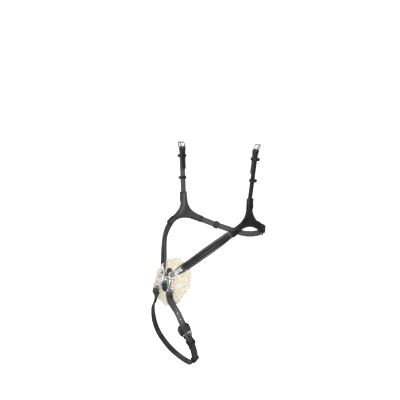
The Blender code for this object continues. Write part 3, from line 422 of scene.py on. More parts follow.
# Each ring's rim, its share of the length from the middle, how far it shrinks and how rubbed it is
KEEPER_CROWN = ("outer", 0.0, -0.12, 0.0)
KEEPER_LIP = (
    ("inner", 0.40, 0.0, 0.3),
    ("inner", 0.46, -0.15, 0.8),
    ("outer", 0.50, 0.75, 1.0),
    ("outer", 0.47, 0.25, 1.0),
    ("outer", 0.38, 0.04, 0.5),
    ("outer", 0.30, 0.0, 0.1),
    ("outer", 0.24, 0.2, 0.5),
    ("outer", 0.18, 0.0, 0.0),
)
# Each keeper's name, body, place, room from low to high, and length
CHIN_KEEPERS = (
    ("fixed", "chin_loop", 12.0, (-3.2, 6.5), 7.0),
    ("sliding", "chin_slider", 62.0, (-0.3, 6.0), KEEPER_LENGTH),
)
JAW_KEEPERS = (
    ("fixed", "noseband", (-3.8, 7.0), 5.0),
    ("sliding", "jaw_slider", (-0.3, 3.0), 9.5),
)
JAW_FIXED = 9.0
JAW_SLIDING = 46.0

# Finishes
BLACK = (0.010, 0.010, 0.011, 1.0)
SOFT_BLACK = (0.026, 0.026, 0.028, 1.0)
RUBBED = (0.045, 0.044, 0.043, 1.0)
# Darkest edge tone: real edge ink, and on the padded leather also painted shade in the raised nose centre's
# flange.
INK_AND_SHADE = (0.012, 0.012, 0.012, 1.0)
LEATHER_CLOUDS = (0.35, 0.68)
SCUFFS = (0.3, 0.7)
POLISH = (0.7, 1.3)
COAT_SHARE = 0.24
FLESH_MATT = 0.3
FLESH_DARK = (0.085, 0.083, 0.080, 1.0)
FLESH_LIGHT = (0.135, 0.131, 0.127, 1.0)
LINING_DARK = (0.060, 0.060, 0.062, 1.0)
LINING_LIGHT = (0.100, 0.100, 0.104, 1.0)
BILLET_DARK = (0.040, 0.040, 0.041, 1.0)
BILLET_LIGHT = (0.080, 0.080, 0.082, 1.0)
NOSE_DARK = (0.070, 0.070, 0.071, 1.0)
NOSE_LIGHT = (0.115, 0.115, 0.117, 1.0)
CLOUDS = (0.35, 0.65)
METAL_MARKS = (0.3, 0.75)
METAL_DULLED = 0.86
CHROME_COLOUR = (0.78, 0.78, 0.80, 1.0)
STEEL_COLOUR = (0.62, 0.62, 0.64, 1.0)
# Emission colour of the wool: painted light, as the wool is no lamp.
WOOL_GLOW = (1.0, 0.95, 0.84, 1.0)
WOOL_WARM = (0.85, 0.80, 0.68, 1.0)
WOOL_PALE = (0.90, 0.86, 0.76, 1.0)
# Darker wool tone towards the roots: painted shade deep in the fleece.
WOOL_ROOT = (0.83, 0.785, 0.67, 1.0)
THREAD_DARK = (0.035, 0.035, 0.038, 1.0)
THREAD_LIGHT = (0.15, 0.15, 0.155, 1.0)
WHITE = (1.0, 1.0, 1.0, 1.0)
FLOOR_GREY = (0.95, 0.95, 0.95, 1.0)
FLOOR_PALE = (0.97, 0.97, 0.97, 1.0)

# Studio
FLOOR_LEVEL = -478.0
FLOOR_REACH = 6000.0
FLOOR_GLOW = 1.05
STUDIO_GLOW = 0.18
# Each bright side's direction, where its glow starts and is full, and its strength
BRIGHT_SIDES = (
    ((-0.95, -0.25, 0.20), 0.88, 0.99, 1.3),
    ((-0.20, -0.78, 0.60), 0.91, 0.99, 0.9),
    ((0.69, -0.64, -0.27), 0.90, 0.99, 1.7),
    ((-0.15, -0.95, -0.18), 0.90, 0.99, 1.0),
)
LIGHTS_AIM = (0.0, -0.04, -0.2)
# Each light's name, place, size and power
LIGHTS = (
    ("key", (-1.2, -0.2, 1.5), 1.0, 7.0),
    ("front", (1.15, -1.35, -0.25), 0.8, 8.0),
    ("back", (-0.6, 1.6, 0.9), 0.9, 8.0),
    ("side", (1.49, -0.47, 0.65), 0.7, 12.0),
)
# Pixels of the photograph: its size, its focal length, where the object's origin shows, and the dip
PHOTO_SIZE = 400.0
PHOTO_FOCUS = 700.0
PHOTO_ORIGIN = (218.3, 144.7)
PHOTO_DIP = 79.5
CAMERA_SENSOR = 36.0
CAMERA_AZIMUTH = math.radians(45.0)
CAMERA_DISTANCE = 1.4


def unit(vector):
    vector = np.asarray(vector, float)
    return vector / np.linalg.norm(vector)


def square_to(vector, axis):
    """The part of a vector square to an axis, at unit length."""
    vector = np.asarray(vector, float)
    return unit(vector - np.dot(vector, axis) * axis)


def smooth_step(value):
    value = np.clip(value, 0.0, 1.0)
    return value * value * (3.0 - 2.0 * value)


def fade(distance, height, reach):
    """A height at an edge that dies out with distance from it."""
    return height * math.exp(-distance / reach)


def rise(distance, height, reach):
    """A height that grows from nothing with distance from an edge."""
    return height * (1.0 - math.exp(-distance / reach))


def dent(distance, middle, depth, width):
    """A pressed line at a distance from an edge."""
    return depth * math.exp(-(((distance - middle) / width) ** 2))


def circle(centre, side, up, radius, count, turn=0.0):
    """Points round a centre in the plane of two directions."""
    angles = [2 * math.pi * i / count + turn for i in range(count)]
    return [centre + radius * (math.cos(angle) * side + math.sin(angle) * up) for angle in angles]


def corner_arc(x, y, radius, turn, steps):
    """Points of a quarter circle that starts at a turn in degrees."""
    angles = [math.radians(turn + 90 * i / steps) for i in range(steps + 1)]
    return [(x + radius * math.cos(angle), y + radius * math.sin(angle)) for angle in angles]


def lengths(rows):
    return np.concatenate([[0.0], np.cumsum(np.linalg.norm(np.diff(rows[:, :3], axis=0), axis=1))])


def smooth_rows(rows, step=STEP):
    """Rows spaced evenly along a smooth curve through the given rows."""
    rows = np.array(rows, float)
    rows = rows[np.concatenate([[True], np.linalg.norm(np.diff(rows[:, :3], axis=0), axis=1) > TOUCHING])]
    along = lengths(rows)
    slopes = np.gradient(rows, along, axis=0)
    count = max(2, round(along[-1] / step) + 1)
    at = np.linspace(0.0, along[-1], count)
    left = np.clip(np.searchsorted(along, at, side="right") - 1, 0, len(along) - 2)
    span = (along[left + 1] - along[left])[:, None]
    f = (at - along[left])[:, None] / span
    start, end = rows[left], rows[left + 1]
    bend = (f**3 - 2 * f**2 + f) * span * slopes[left] + (f**3 - f**2) * span * slopes[left + 1]
    return (2 * f**3 - 3 * f**2 + 1) * start + (3 * f**2 - 2 * f**3) * end + bend


def sampled(rows, at, along=None):
    """Rows at the given lengths; along holds each row's own length where it isn't the route's."""
    along = lengths(rows) if along is None else along
    return np.column_stack([np.interp(at, along, column) for column in rows.T])


def cut_rows(rows, start, end):
    """The stretch of a route between two lengths along it, with its ends interpolated."""
    along = lengths(rows)
    between = along[(along > start + END_ROOM) & (along < end - END_ROOM)]
    return sampled(rows, np.concatenate([[start], between, [end]]))


def mirrored(rows):
    """The same rows on the other side of the head."""
    rows = np.array(rows, float)
    rows[:, ::3] *= -1
    return rows


def squared(rows):
    """The same rows with each outward normal made square to the direction of travel."""
    rows = np.array(rows, float)
    ahead = np.gradient(rows[:, :3], axis=0)
    ahead /= np.linalg.norm(ahead, axis=1)[:, None]
    normals = rows[:, 3:6] - np.sum(rows[:, 3:6] * ahead, axis=1)[:, None] * ahead
    rows[:, 3:6] = normals / np.linalg.norm(normals, axis=1)[:, None]
    return rows


def lifted(rows, height):
    """Rows moved along their own outward normals."""
    rows = np.array(rows, float)
    rows[:, :3] += rows[:, 3:6] * np.reshape(height, (-1, 1))
    return rows


def frames(rows):
    """Point, direction of travel, outward normal and sideways direction at each row."""
    ahead = np.gradient(rows[:, :3], axis=0)
    result = []
    for point, travel, normal in zip(rows[:, :3], ahead, rows[:, 3:6]):
        travel = unit(travel)
        normal = square_to(normal, travel)
        result.append((point, travel, normal, np.cross(normal, travel)))
    return result


def place_on(rows, along, distance):
    """Point, direction and normal on rows at a distance; along gives each row's own."""
    near = sampled(rows, (distance - 1.0, distance, distance + 1.0), along)
    return frames(near)[1][:3]


def outline_distance(points, outline):
    """How far from a closed outline each point lies."""
    points = np.asarray(points, float)
    nearest = np.full(len(points), np.inf)
    for a, b in zip(outline, np.roll(outline, -1, axis=0)):
        edge = b - a
        f = np.clip(((points - a) @ edge) / (edge @ edge), 0.0, 1.0)
        nearest = np.minimum(nearest, np.linalg.norm(points - a - f[:, None] * edge, axis=1))
    return nearest


def inside(points, outline):
    """Whether each point lies within a closed outline."""
    result = np.zeros(len(points), bool)
    for (ax, ay), (bx, by) in zip(outline, np.roll(outline, -1, axis=0)):
        crosses = (ay > points[:, 1]) != (by > points[:, 1])
        height = by - ay if by != ay else 1.0
        result ^= crosses & (points[:, 0] < (bx - ax) * (points[:, 1] - ay) / height + ax)
    return result


def inset_ring(outline, distance):
    """Outline points moved inwards, without those that a tight corner would push too near an edge."""
    before = outline - np.roll(outline, 1, axis=0)
    after = np.roll(outline, -1, axis=0) - outline
    travel = before / np.linalg.norm(before, axis=1)[:, None] + after / np.linalg.norm(after, axis=1)[:, None]
    inward = np.column_stack([-travel[:, 1], travel[:, 0]])
    inward /= np.linalg.norm(inward, axis=1)[:, None]
    area = np.sum(outline[:, 0] * np.roll(outline[:, 1], -1) - outline[:, 1] * np.roll(outline[:, 0], -1))
    moved = outline + inward * distance * (1 if area > 0 else -1)
    return moved[inside(moved, outline) & (outline_distance(moved, outline) > INSET_KEPT * distance)]


def curve_2d(points, step=OUTLINE_STEP):
    rows = [(a, b, 0.0) for a, b in points]
    return [tuple(row[:2]) for row in smooth_rows(rows, step)]


def both_halves(half):
    """A closed outline from its right half, given from the top down."""
    left = [(-x, y) for x, y in half[::-1] if abs(x) > TOUCHING]
    return np.array(half + left)


def cheek_place(y, z):
    """Point and outward normal on the left side of the head."""
    curve = CURVE_FRONT if y < WIDEST_Y else CURVE_REAR
    x = WIDEST - curve * (y - WIDEST_Y) ** 2 + LEAN * max(0.0, z - LEAN_FROM_Z)
    lean = -LEAN if z > LEAN_FROM_Z else 0.0
    return np.array((x, y, z)), unit((1.0, 2 * curve * (y - WIDEST_Y), lean))


def on_cheek(side):
    """Puts a (Y, Z) place and a height on one cheek."""

    def place(spot, height):
        point, normal = cheek_place(*spot)
        point = point + height * normal
        point[0] *= side
        return point

    return place


def cheek_rows(route):
    return np.array([np.concatenate(cheek_place(*spot)) for spot in route])


def face_point(across, up, out):
    """A place on the front of the nose: across, up and out from the middle of the centre fitting."""
    return CENTRE + across * ACROSS + (up * FACE_UP + out * FACE_OUT)


def on_face(spot, height):
    return face_point(spot[0], spot[1], height)


def jowl_outline():
    """Closed outline of the jowl piece: straight arm ends joined by flared curves."""
    flares = (
        (ARM_TOP_FRONT, *FLARE_FRONT, ARM_FRONT_TOP),
        (ARM_FRONT_FOOT, *FLARE_FOOT, ARM_REAR_FOOT),
        (ARM_REAR_TOP, *FLARE_REAR, ARM_TOP_REAR),
    )
    outline = []
    for flare, (a, b) in zip(flares, ARM_ENDS):
        outline += curve_2d(flare) + [tuple((np.array(a) + b) / 2)]
    return np.array(outline)


def tucked(spot):
    """How much of a strap's thickness lies under the jowl piece at a place, from none to all."""
    share = 0.0
    for (a, b), reach in zip(ARM_ENDS, TUCK_REACH):
        middle = (np.array(a) + b) / 2
        edge = np.array(b) - a
        square = np.array((-edge[1], edge[0]))
        square = unit(square * np.sign(square @ (np.array(JOWL_HUB) - middle)))
        depth = (np.asarray(spot) - middle) @ square
        aside = np.linalg.norm(np.asarray(spot) - middle - depth * square)
        if aside < TUCK_HALF_WIDTH:
            share = max(share, 1.0 - smooth_step((depth - reach) / TUCK_RAMP))
    return share


def cheek_line(side):
    """Bar centre, foot, direction down the strap and outward normal of a cheek strap."""
    top = np.array(CHEEK_TOP)
    foot, out = cheek_place(*CHEEK_FOOT)
    for spot in (top, foot, out):
        spot[0] *= side
    along = unit(foot - top)
    return top + along * CHEEK_BAR_DROP, foot, along, square_to(out, along)


def link_frame(side=1):
    """Centre of an upper lug's bar, the way from it along the nose strap and the way out of the strap."""
    bar = face_point(*UPPER_LUG, BAR_OUT)
    way = unit(LINK_WAY)
    out = square_to(LINK_OUT, way)
    mirror = np.array((side, 1.0, 1.0))
    return bar * mirror, way * mirror, out * mirror


def nose_rows(side):
    """Route of a nose strap's underside, from the jowl piece to the centre fitting."""
    bar, way, out = link_frame()
    rows = cheek_rows(NOSE_ROUTE)
    share = np.array(NOSE_TURN)[:, None]
    rows[:, 3:6] = (1.0 - share) * rows[:, 3:6] + share * out
    under = out * (HALF_STACK + LEATHER / 2 + GAP + LINK_THICK / 2)
    ends = [(*(bar + way * reach - under), *out) for reach in NOSE_BEFORE_BAR]
    rows = squared(smooth_rows([*rows, *ends], NOSE_STEP))
    return rows if side > 0 else mirrored(rows)


def chin_loop():
    """Centre route of the whole chin loop, from the right lower lug round to the left one."""
    left = np.array([(*face_point(*LOWER_LUG, BAR_OUT), *CHIN_START_FACE), *CHIN_ROUTE])
    right = mirrored(left)
    right[FAR_CHIN_TURNED, 3:] = FAR_CHIN_FACES
    right[FAR_CHIN_MOVED, :2] += FAR_CHIN_SHIFT
    rows = np.concatenate([right, [CHIN_FOOT], left[::-1]])
    total = lengths(rows)[-1]
    return squared(smooth_rows(rows, total / (2 * round(total / STEP / 2))))


def jaw_rows():
    """Route round the back of the jaw from the right jowl piece to the left one, with level normals."""
    left = np.concatenate([cheek_rows(JAW_TUCK)[:, :3], JAW_ROUTE])
    rows = smooth_rows(np.concatenate([mirrored(left), [JAW_BACK], left[::-1]]))
    travel = np.gradient(rows, axis=0)
    normals = np.column_stack([travel[:, 1], -travel[:, 0], np.zeros(len(rows))])
    from_middle = rows[:, :2] - rows[:, :2].mean(axis=0)
    sign = np.sign(np.sum(normals[:, :2] * from_middle, axis=1))
    return squared(np.column_stack([rows, normals * sign[:, None]]))


def fold_arc(centre, along, out, radius):
    """Rows round a bar, from its outer side past its far side to its inner side."""
    rows = []
    for i in range(1, FOLD_STEPS):
        angle = math.pi * i / FOLD_STEPS
        way = math.cos(angle) * out - math.sin(angle) * along
        rows.append((*(centre + radius * way), *way))
    return np.array(rows)


def fold_spread(distance, radius):
    """How much further than closed layers a fold's layers stand from their middle near its bar."""
    return (radius - HALF_STACK) * (1.0 - smooth_step(distance / FOLD_BLEND))


def folded(centre, start_fold, end_fold=0.0, start_bar=WIRE):
    """Rows of a strap that lies outside a centre route and turns back inside it round a bar at an end.
    A fold is the length turned back; the bar's axis is the route's own end point."""
    along = lengths(centre)
    start_radius = start_bar + GAP + LEATHER / 2
    height = HALF_STACK + fold_spread(along, start_radius)
    if end_fold:
        height += fold_spread(along[-1] - along, FOLD_RADIUS)
    inner = lifted(centre, -height)
    inner[:, 3:6] *= -1
    stations = frames(centre)
    point, travel, normal, _ = stations[0]
    arc = fold_arc(point, travel, normal, start_radius)
    parts = [cut_rows(inner, 0.0, start_fold)[::-1], arc[::-1], lifted(centre, height)]
    if end_fold:
        point, travel, normal, _ = stations[-1]
        parts += [fold_arc(point, -travel, normal, FOLD_RADIUS), cut_rows(inner[::-1], 0.0, end_fold)]
    return np.concatenate(parts)


def buckled_heights(distance, length=FRAME_LENGTH):
    """Heights of a billet over its centre route by the distance past the heel bar, negative before it."""
    under_front = math.sin(FRAME_TILT) * length - WIRE - 2 * GAP - LEATHER / 2
    over_heel = FOLD_RADIUS + LEATHER + 3 * GAP
    reach = math.cos(FRAME_TILT) * length
    knots = (-reach - BILLET_SETTLE[0], -reach, 0.0, FOLD_BLEND + BILLET_SETTLE[1])
    return np.interp(distance, knots, (HALF_STACK, under_front, over_heel, BILLET_LEVEL))


def tip_shares(rows):
    """Share of the full width at each row: one along the strap, narrowing to a rounded point at its end."""
    left = lengths(rows)[-1] - lengths(rows)
    share = 1.0 - np.minimum(left, TIP_LENGTH) / TIP_LENGTH
    return TIP_SHARE + (1.0 - TIP_SHARE) * np.sqrt(1.0 - share * share)


def with_tip(rows):
    """Rows with closer places along the last stretch, so that the point is round."""
    along = lengths(rows)
    before = along[along < along[-1] - TIP_LENGTH]
    return sampled(rows, np.concatenate([before, along[-1] - TIP_LENGTH * np.array(TIP_PLACES)]))


def node(tree, kind, inputs=None, **settings):
    """Adds a shader node; an input is a value or the socket to link."""
    made = tree.nodes.new(kind)
    for key, value in settings.items():
        setattr(made, key, value)
    for key, value in (inputs or {}).items():
        if isinstance(value, bpy.types.NodeSocket):
            tree.links.new(value, made.inputs[key])
        else:
            made.inputs[key].default_value = value
    return made


def principled(name, **values):
    """A material with its shader's constant values set on the shader's own sockets."""
    material = bpy.data.materials.new(name)
    material.use_nodes = True
    shader = material.node_tree.nodes["Principled BSDF"]
    for key, value in values.items():
        shader.inputs[key.replace("_", " ")].default_value = value
    return material, material.node_tree, shader


def noise(tree, scale, detail=2.0):
    place = node(tree, "ShaderNodeTexCoord").outputs["Object"]
    inputs = {"Vector": place, "Scale": scale, "Detail": detail}
    return node(tree, "ShaderNodeTexNoise", inputs).outputs["Fac"]


def blend_colours(tree, share, one, two):
    return node(tree, "ShaderNodeMixRGB", {"Fac": share, "Color1": one, "Color2": two}).outputs["Color"]


def remap(tree, value, low, high, to_low=0.0, to_high=1.0):
    inputs = {"Value": value, "From Min": low, "From Max": high, "To Min": to_low, "To Max": to_high}
    return node(tree, "ShaderNodeMapRange", inputs).outputs["Result"]


def worked_out(tree, operation, *values):
    return node(tree, "ShaderNodeMath", dict(enumerate(values)), operation=operation).outputs[0]


def read_from_mesh(tree, name):
    return node(tree, "ShaderNodeAttribute", attribute_name=name).outputs["Fac"]


def finish_shader(tree, shader, colour, rough, height, strength, distance):
    """Links a colour, a roughness where it varies, and bumps from a height."""
    tree.links.new(colour, shader.inputs["Base Color"])
    if rough is not None:
        tree.links.new(rough, shader.inputs["Roughness"])
    bump = node(tree, "ShaderNodeBump", {"Strength": strength, "Distance": distance, "Height": height})
    tree.links.new(bump.outputs["Normal"], shader.inputs["Normal"])


def leather(name, dark, light, edge_tone, rough, grain=850.0, relief=0.35, shine=0.5):
    """Waxed leather: pebbled grain, cloudy colour, and rubbed edges and creases read from the mesh; on the
    padded leather the same edge tone paints shade in the raised nose centre's flange.
    """
    coat = COAT_SHARE * shine
    material, tree, shader = principled(name, Specular_IOR_Level=shine, Coat_Weight=coat, Coat_Roughness=0.3)
    cloud = noise(tree, scale=55.0, detail=4.0)
    pores = noise(tree, scale=2100.0)
    scuffs = noise(tree, scale=300.0, detail=5.0)
    place = node(tree, "ShaderNodeTexCoord").outputs["Object"]
    pebbles = node(tree, "ShaderNodeTexVoronoi", {"Vector": place, "Scale": grain}).outputs["Distance"]
    tone = blend_colours(tree, remap(tree, cloud, *LEATHER_CLOUDS), dark, light)
    wear = remap(tree, scuffs, *SCUFFS, to_low=0.25)
    # The edge tone shows where the mesh's edge value is high: wear on edges and creases, and painted shade in
    # the raised nose centre's flange.
    rubbed = worked_out(tree, "MULTIPLY", read_from_mesh(tree, "edge"), wear)
    flesh = read_from_mesh(tree, "flesh")
    nap = blend_colours(tree, scuffs, FLESH_DARK, FLESH_LIGHT)
    colour = blend_colours(tree, flesh, blend_colours(tree, rubbed, tone, edge_tone), nap)
    polish = remap(tree, worked_out(tree, "ADD", cloud, pores), *POLISH, *rough)
    matt = worked_out(tree, "MULTIPLY_ADD", flesh, FLESH_MATT, polish)
    height = worked_out(tree, "ADD", pebbles, pores)
    finish_shader(tree, shader, colour, matt, height, strength=relief, distance=0.00022)
    return material


def metal(name, colour, rough, scratch):
    """Polished metal with faint rubbing marks."""
    material, tree, shader = principled(name, Metallic=1.0)
    cloud = noise(tree, scale=160.0, detail=5.0)
    marks = noise(tree, scale=1400.0, detail=3.0)
    shade_low = tuple(c * METAL_DULLED for c in colour[:3]) + (1.0,)
    tint = blend_colours(tree, remap(tree, cloud, *CLOUDS), shade_low, colour)
    polish = remap(tree, marks, *METAL_MARKS, *rough)
    finish_shader(tree, shader, tint, polish, marks, strength=scratch, distance=0.00005)
    return material


def wool_material():
    """Cream wool, darker towards its roots by painted shade, with a faint emission that paints light on it.
    """
    matt = {"Roughness": 0.95, "Sheen_Weight": 0.25, "Sheen_Roughness": 0.6}
    soft = {"Subsurface_Weight": 0.3, "Subsurface_Scale": 0.004}
    # A faint cream emission paints light on the wool and flattens its shading.
    glow = {"Emission_Color": WOOL_GLOW, "Emission_Strength": 0.14}
    material, tree, shader = principled("wool", **matt, **soft, **glow)
    cloud = noise(tree, scale=75.0, detail=4.0)
    warm = blend_colours(tree, remap(tree, cloud, *CLOUDS), WOOL_WARM, WOOL_PALE)
    # The darker root tone where the mesh's value is low: painted shade deep in the fleece, mixed with each
    # lock's random tone.
    tone = blend_colours(tree, read_from_mesh(tree, "edge"), WOOL_ROOT, warm)
    strands = noise(tree, scale=1300.0, detail=4.0)
    finish_shader(tree, shader, tone, None, strands, strength=0.6, distance=0.0004)
    return material


def thread_material():
    """Waxed twisted thread."""
    material, tree, shader = principled("thread", Sheen_Weight=0.3)
    wax = noise(tree, scale=420.0, detail=3.0)
    tone = blend_colours(tree, wax, THREAD_DARK, THREAD_LIGHT)
    rough = remap(tree, wax, *SCUFFS, to_low=0.45, to_high=0.7)
    finish_shader(tree, shader, tone, rough, noise(tree, scale=3500.0), strength=0.5, distance=0.00008)
    return material


STRAP = leather("strap_leather", BLACK, SOFT_BLACK, RUBBED, (0.27, 0.44))
# Its edge tone is the darkest black: edge ink on the jowl skins, and painted shade in the trough along the
# raised nose centre's flange.
PADDED = leather("padded_leather", BLACK, SOFT_BLACK, INK_AND_SHADE, (0.20, 0.34), grain=700.0, relief=0.2, shine=0.3)
KEEPER = leather("keeper_leather", BLACK, SOFT_BLACK, INK_AND_SHADE, (0.40, 0.58))
LINING = leather("lining_leather", LINING_DARK, LINING_LIGHT, RUBBED, (0.36, 0.52), grain=1000.0)
BILLET = leather("billet_leather", BILLET_DARK, BILLET_LIGHT, INK_AND_SHADE, (0.30, 0.46), relief=0.2)
NOSE = leather("nose_leather", NOSE_DARK, NOSE_LIGHT, INK_AND_SHADE, (0.30, 0.46))
CHROME = metal("chrome", CHROME_COLOUR, (0.06, 0.15), 0.12)
STEEL = metal("steel_wire", STEEL_COLOUR, (0.10, 0.20), 0.18)
WOOL = wool_material()
THREAD_FINISH = thread_material()


def shade(item, angle=42.0):
    item.data.polygons.foreach_set("use_smooth", [True] * len(item.data.polygons))
    item.data.set_sharp_from_angle(angle=math.radians(angle))


def mark_points(mesh, name, values):
    """Stores a number from 0 to 1 at each point, which materials read."""
    mesh.attributes.new(name, "FLOAT", "POINT").data.foreach_set("value", np.asarray(values, np.float32))


def mesh_piece(name, points, faces, material, edge=None):
    """An object from points in millimetres; edge says how rubbed each point is, and where it paints shade: in
    the raised nose centre's flange, and at the roots of the wool, whose locks also differ in tone at random.
    """
    mesh = bpy.data.meshes.new(name)
    mesh.from_pydata((np.asarray(points, float) * METRES).tolist(), [], faces)
    if edge is not None:
        mark_points(mesh, "edge", edge)
    shape = bmesh.new()
    shape.from_mesh(mesh)
    bmesh.ops.recalc_face_normals(shape, faces=shape.faces)
    shape.to_mesh(mesh)
    shape.free()
    item = bpy.data.objects.new(name, mesh)
    bpy.context.collection.objects.link(item)
    mesh.materials.append(material)
    shade(item)
    return item


def bake(item):
    """Applies an object's modifiers to its mesh."""
    bpy.context.view_layer.update()
    evaluated = item.evaluated_get(bpy.context.evaluated_depsgraph_get())
    mesh = bpy.data.meshes.new_from_object(evaluated)
    item.modifiers.clear()
    item.data = mesh


def combine(item, others, operation):
    """Joins other solids to an object or cuts them from it, and removes them."""
    for other in others:
        step = item.modifiers.new("step", "BOOLEAN")
        step.operation = operation
        step.solver = "EXACT"
        step.object = other
    bake(item)
    for other in others:
        bpy.data.objects.remove(other, do_unlink=True)
    shade(item)


def melted(item):
    """Melts joined solids into one casting with soft corners."""
    step = item.modifiers.new("melt", "REMESH")
    step.mode = "VOXEL"
    step.voxel_size = MELT * METRES
    step.use_smooth_shade = True
    soften = item.modifiers.new("soften", "SMOOTH")
    soften.factor = MELT_FACTOR
    soften.iterations = MELT_PASSES
    bake(item)
    shade(item, MELT_SHARP)


def place_piece(item, body, slot, *nodes):
    """The piece rides on a body and stands for CAD nodes, which it hides; its slot is not used."""
    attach(item, body)
    if nodes:
        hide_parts(*nodes)
    return item


def rings_to_faces(rings, size, closed=False):
    faces = []
    for ring in range(rings if closed else rings - 1):
        after = (ring + 1) % rings
        for i in range(size):
            j = (i + 1) % size
            faces.append((ring * size + i, ring * size + j, after * size + j, after * size + i))
    if not closed:
        faces.append(tuple(range(size)))
        faces.append(tuple((rings - 1) * size + i for i in range(size)))
    return faces


def strap_profile(width):
    """Section of a strap as (across, out, edge) rows: rounded edges, a pressed crease along each edge of
    both faces and a slight crown."""
    half = width / 2
    line = half - CREASE
    before, after = CREASE_LIPS
    face = [(line + before, 0.0), (line, CREASE_DEPTH), (line - after, 0.0)]
    face += [(line * share, -height) for share, height in CROWN]
    face += [(-x, drop) for x, drop in face[:-1][::-1]]
    rows = []
    for across, out, turn in CORNERS:
        steps = len(STRAP_CORNER_RUBS) - 1
        corner = corner_arc(across * (half - CORNER), out * (LEATHER / 2 - CORNER), CORNER, turn, steps)
        rows += [(x, y, rub) for (x, y), rub in zip(corner, STRAP_CORNER_RUBS)]
        if across == out:
            for x, drop in face:
                rub = CREASE_RUB if drop == CREASE_DEPTH else 0.0
                rows.append((across * x, out * (LEATHER / 2 - drop), rub))
    return rows


def strap(name, rows, profile, material, widths=None, fine=FINE_STEP, flesh=False):
    """A strap along a route; widths gives each row's share of the full width. A single layer can show its
    rough flesh side, which the leather's material reads from the mesh."""
    if widths is None:
        widths = np.ones(len(rows))
    rows = smooth_rows(np.column_stack([np.array(rows), widths]), fine)
    points = []
    for share, (point, _, normal, side) in zip(rows[:, 6], frames(rows)):
        points += [point + side * across * share + normal * out for across, out, _ in profile]
    edge = [rub for _, _, rub in profile] * len(rows)
    item = mesh_piece(name, points, rings_to_faces(len(rows), len(profile)), material, edge)
    if flesh:
        inner = [1.0 if out < 0.0 and rub < 0.5 else 0.0 for _, out, rub in profile]
        mark_points(item.data, "flesh", inner * len(rows))
    return item


def wire(name, path, radius, material, closed=True, sides=16):
    """A round wire along a flat path."""
    path = np.array(path, float)
    plane = np.linalg.svd(path - path.mean(axis=0))[2][2]
    if closed:
        ahead = np.roll(path, -1, axis=0) - np.roll(path, 1, axis=0)
    else:
        ahead = np.gradient(path, axis=0)
    points = []
    for point, travel in zip(path, ahead):
        travel = unit(travel)
        up = square_to(plane, travel)
        points += circle(point, np.cross(up, travel), up, radius, sides)
    return mesh_piece(name, points, rings_to_faces(len(path), sides, closed), material)


def cylinder(name, start, end, radius, material, sides=28):
    axis = unit(end - start)
    side = square_to(SIDEWAYS, axis)
    up = np.cross(axis, side)
    points = circle(start, side, up, radius, sides) + circle(end, side, up, radius, sides)
    return mesh_piece(name, points, rings_to_faces(2, sides), material)


def slot_cutter(centre, length_axis, through_axis, length, width, depth):
    """A round-ended bar that cuts a slot."""
    length_axis = unit(length_axis)
    through_axis = unit(through_axis)
    across = np.cross(through_axis, length_axis)
    radius = width / 2
    rim = []
    for sign in (1, -1):
        for i in range(SLOT_STEPS + 1):
            angle = math.radians(-90 + 180 / SLOT_STEPS * i)
            reach = (length / 2 - radius + radius * math.cos(angle)) * sign
            rim.append(reach * length_axis + sign * radius * math.sin(angle) * across)
    points = []
    for level in (-depth / 2, depth / 2):
        points += [centre + p + level * through_axis for p in rim]
    return mesh_piece("slot", points, rings_to_faces(2, len(rim)), STRAP)


def sheet(name, outline, insets, spacing, top, foot, place, material):
    """A sheet with the given outline, whose two faces' heights come from the distance to the edge and the
    place. Its places lie on rings inside the outline and, further in, on a staggered grid."""
    outline = np.array(outline, float)
    spots = [outline] + [inset_ring(outline, distance) for distance in insets]
    low = outline.min(axis=0)
    high = outline.max(axis=0)
    grid = []
    for row, y in enumerate(np.arange(low[1] + spacing / 2, high[1], spacing * SHEET_ROW)):
        for x in np.arange(low[0] + spacing * SHEET_STAGGER[row % 2], high[0], spacing):
            grid.append((x, y))
    grid = np.array(grid)
    clear = insets[-1] + spacing * SHEET_CLEAR
    spots.append(grid[inside(grid, outline) & (outline_distance(grid, outline) > clear)])
    edges = [(i, (i + 1) % len(outline)) for i in range(len(outline))]
    flat = delaunay_2d_cdt([tuple(p) for p in np.concatenate(spots)], edges, [], 1, SHEET_MERGE)
    flat_points = np.array([tuple(p) for p in flat[0]])
    distance = outline_distance(flat_points, outline)
    distance[distance < SHEET_EDGE] = 0.0
    points = [place(p, height(d, p)) for height in (top, foot) for p, d in zip(flat_points, distance)]
    rub = np.exp(-distance / SHEET_RUB)
    faces = two_sided([tuple(face) for face in flat[2]], len(flat_points))
    return mesh_piece(name, points, faces, material, np.concatenate([rub, rub]))


def two_sided(faces, count):
    """Faces of a flat net, the same faces on the points after them, and the rim that joins both."""
    ways = {(a, b) for face in faces for a, b in zip(face, face[1:] + face[:1])}
    border = [(a, b) for face in faces for a, b in zip(face, face[1:] + face[:1]) if (b, a) not in ways]
    back = [tuple(i + count for i in reversed(face)) for face in faces]
    return faces + back + [(a + count, b + count, b, a) for a, b in border]


def stitches(name, runs, body):
    """Thread stitches; each run is a list of (point, normal) places close enough to follow a seam."""
    points = []
    faces = []
    for run in runs:
        seats = np.array([np.concatenate(seat) for seat in run], float)
        along = lengths(seats)
        count = int(along[-1] / STITCH_PITCH)
        for k in range(count):
            start = (k + 0.5) * along[-1] / count - STITCH_LENGTH / 2
            near = sampled(seats, [start + STITCH_LENGTH * share for share, _, _ in STITCH], along)
            travel = unit(near[-1, :3] - near[0, :3])
            normal = square_to(near[2, 3:], travel)
            side = np.cross(normal, travel)
            base = len(points)
            for seat, (_, swell, lift) in zip(near, STITCH):
                points += circle(seat[:3] + normal * lift, side, normal, THREAD * swell, 6)
            faces += [tuple(base + i for i in face) for face in rings_to_faces(len(STITCH), 6)]
    item = mesh_piece(name, points, faces, THREAD_FINISH)
    return place_piece(item, body, "strap_leather")


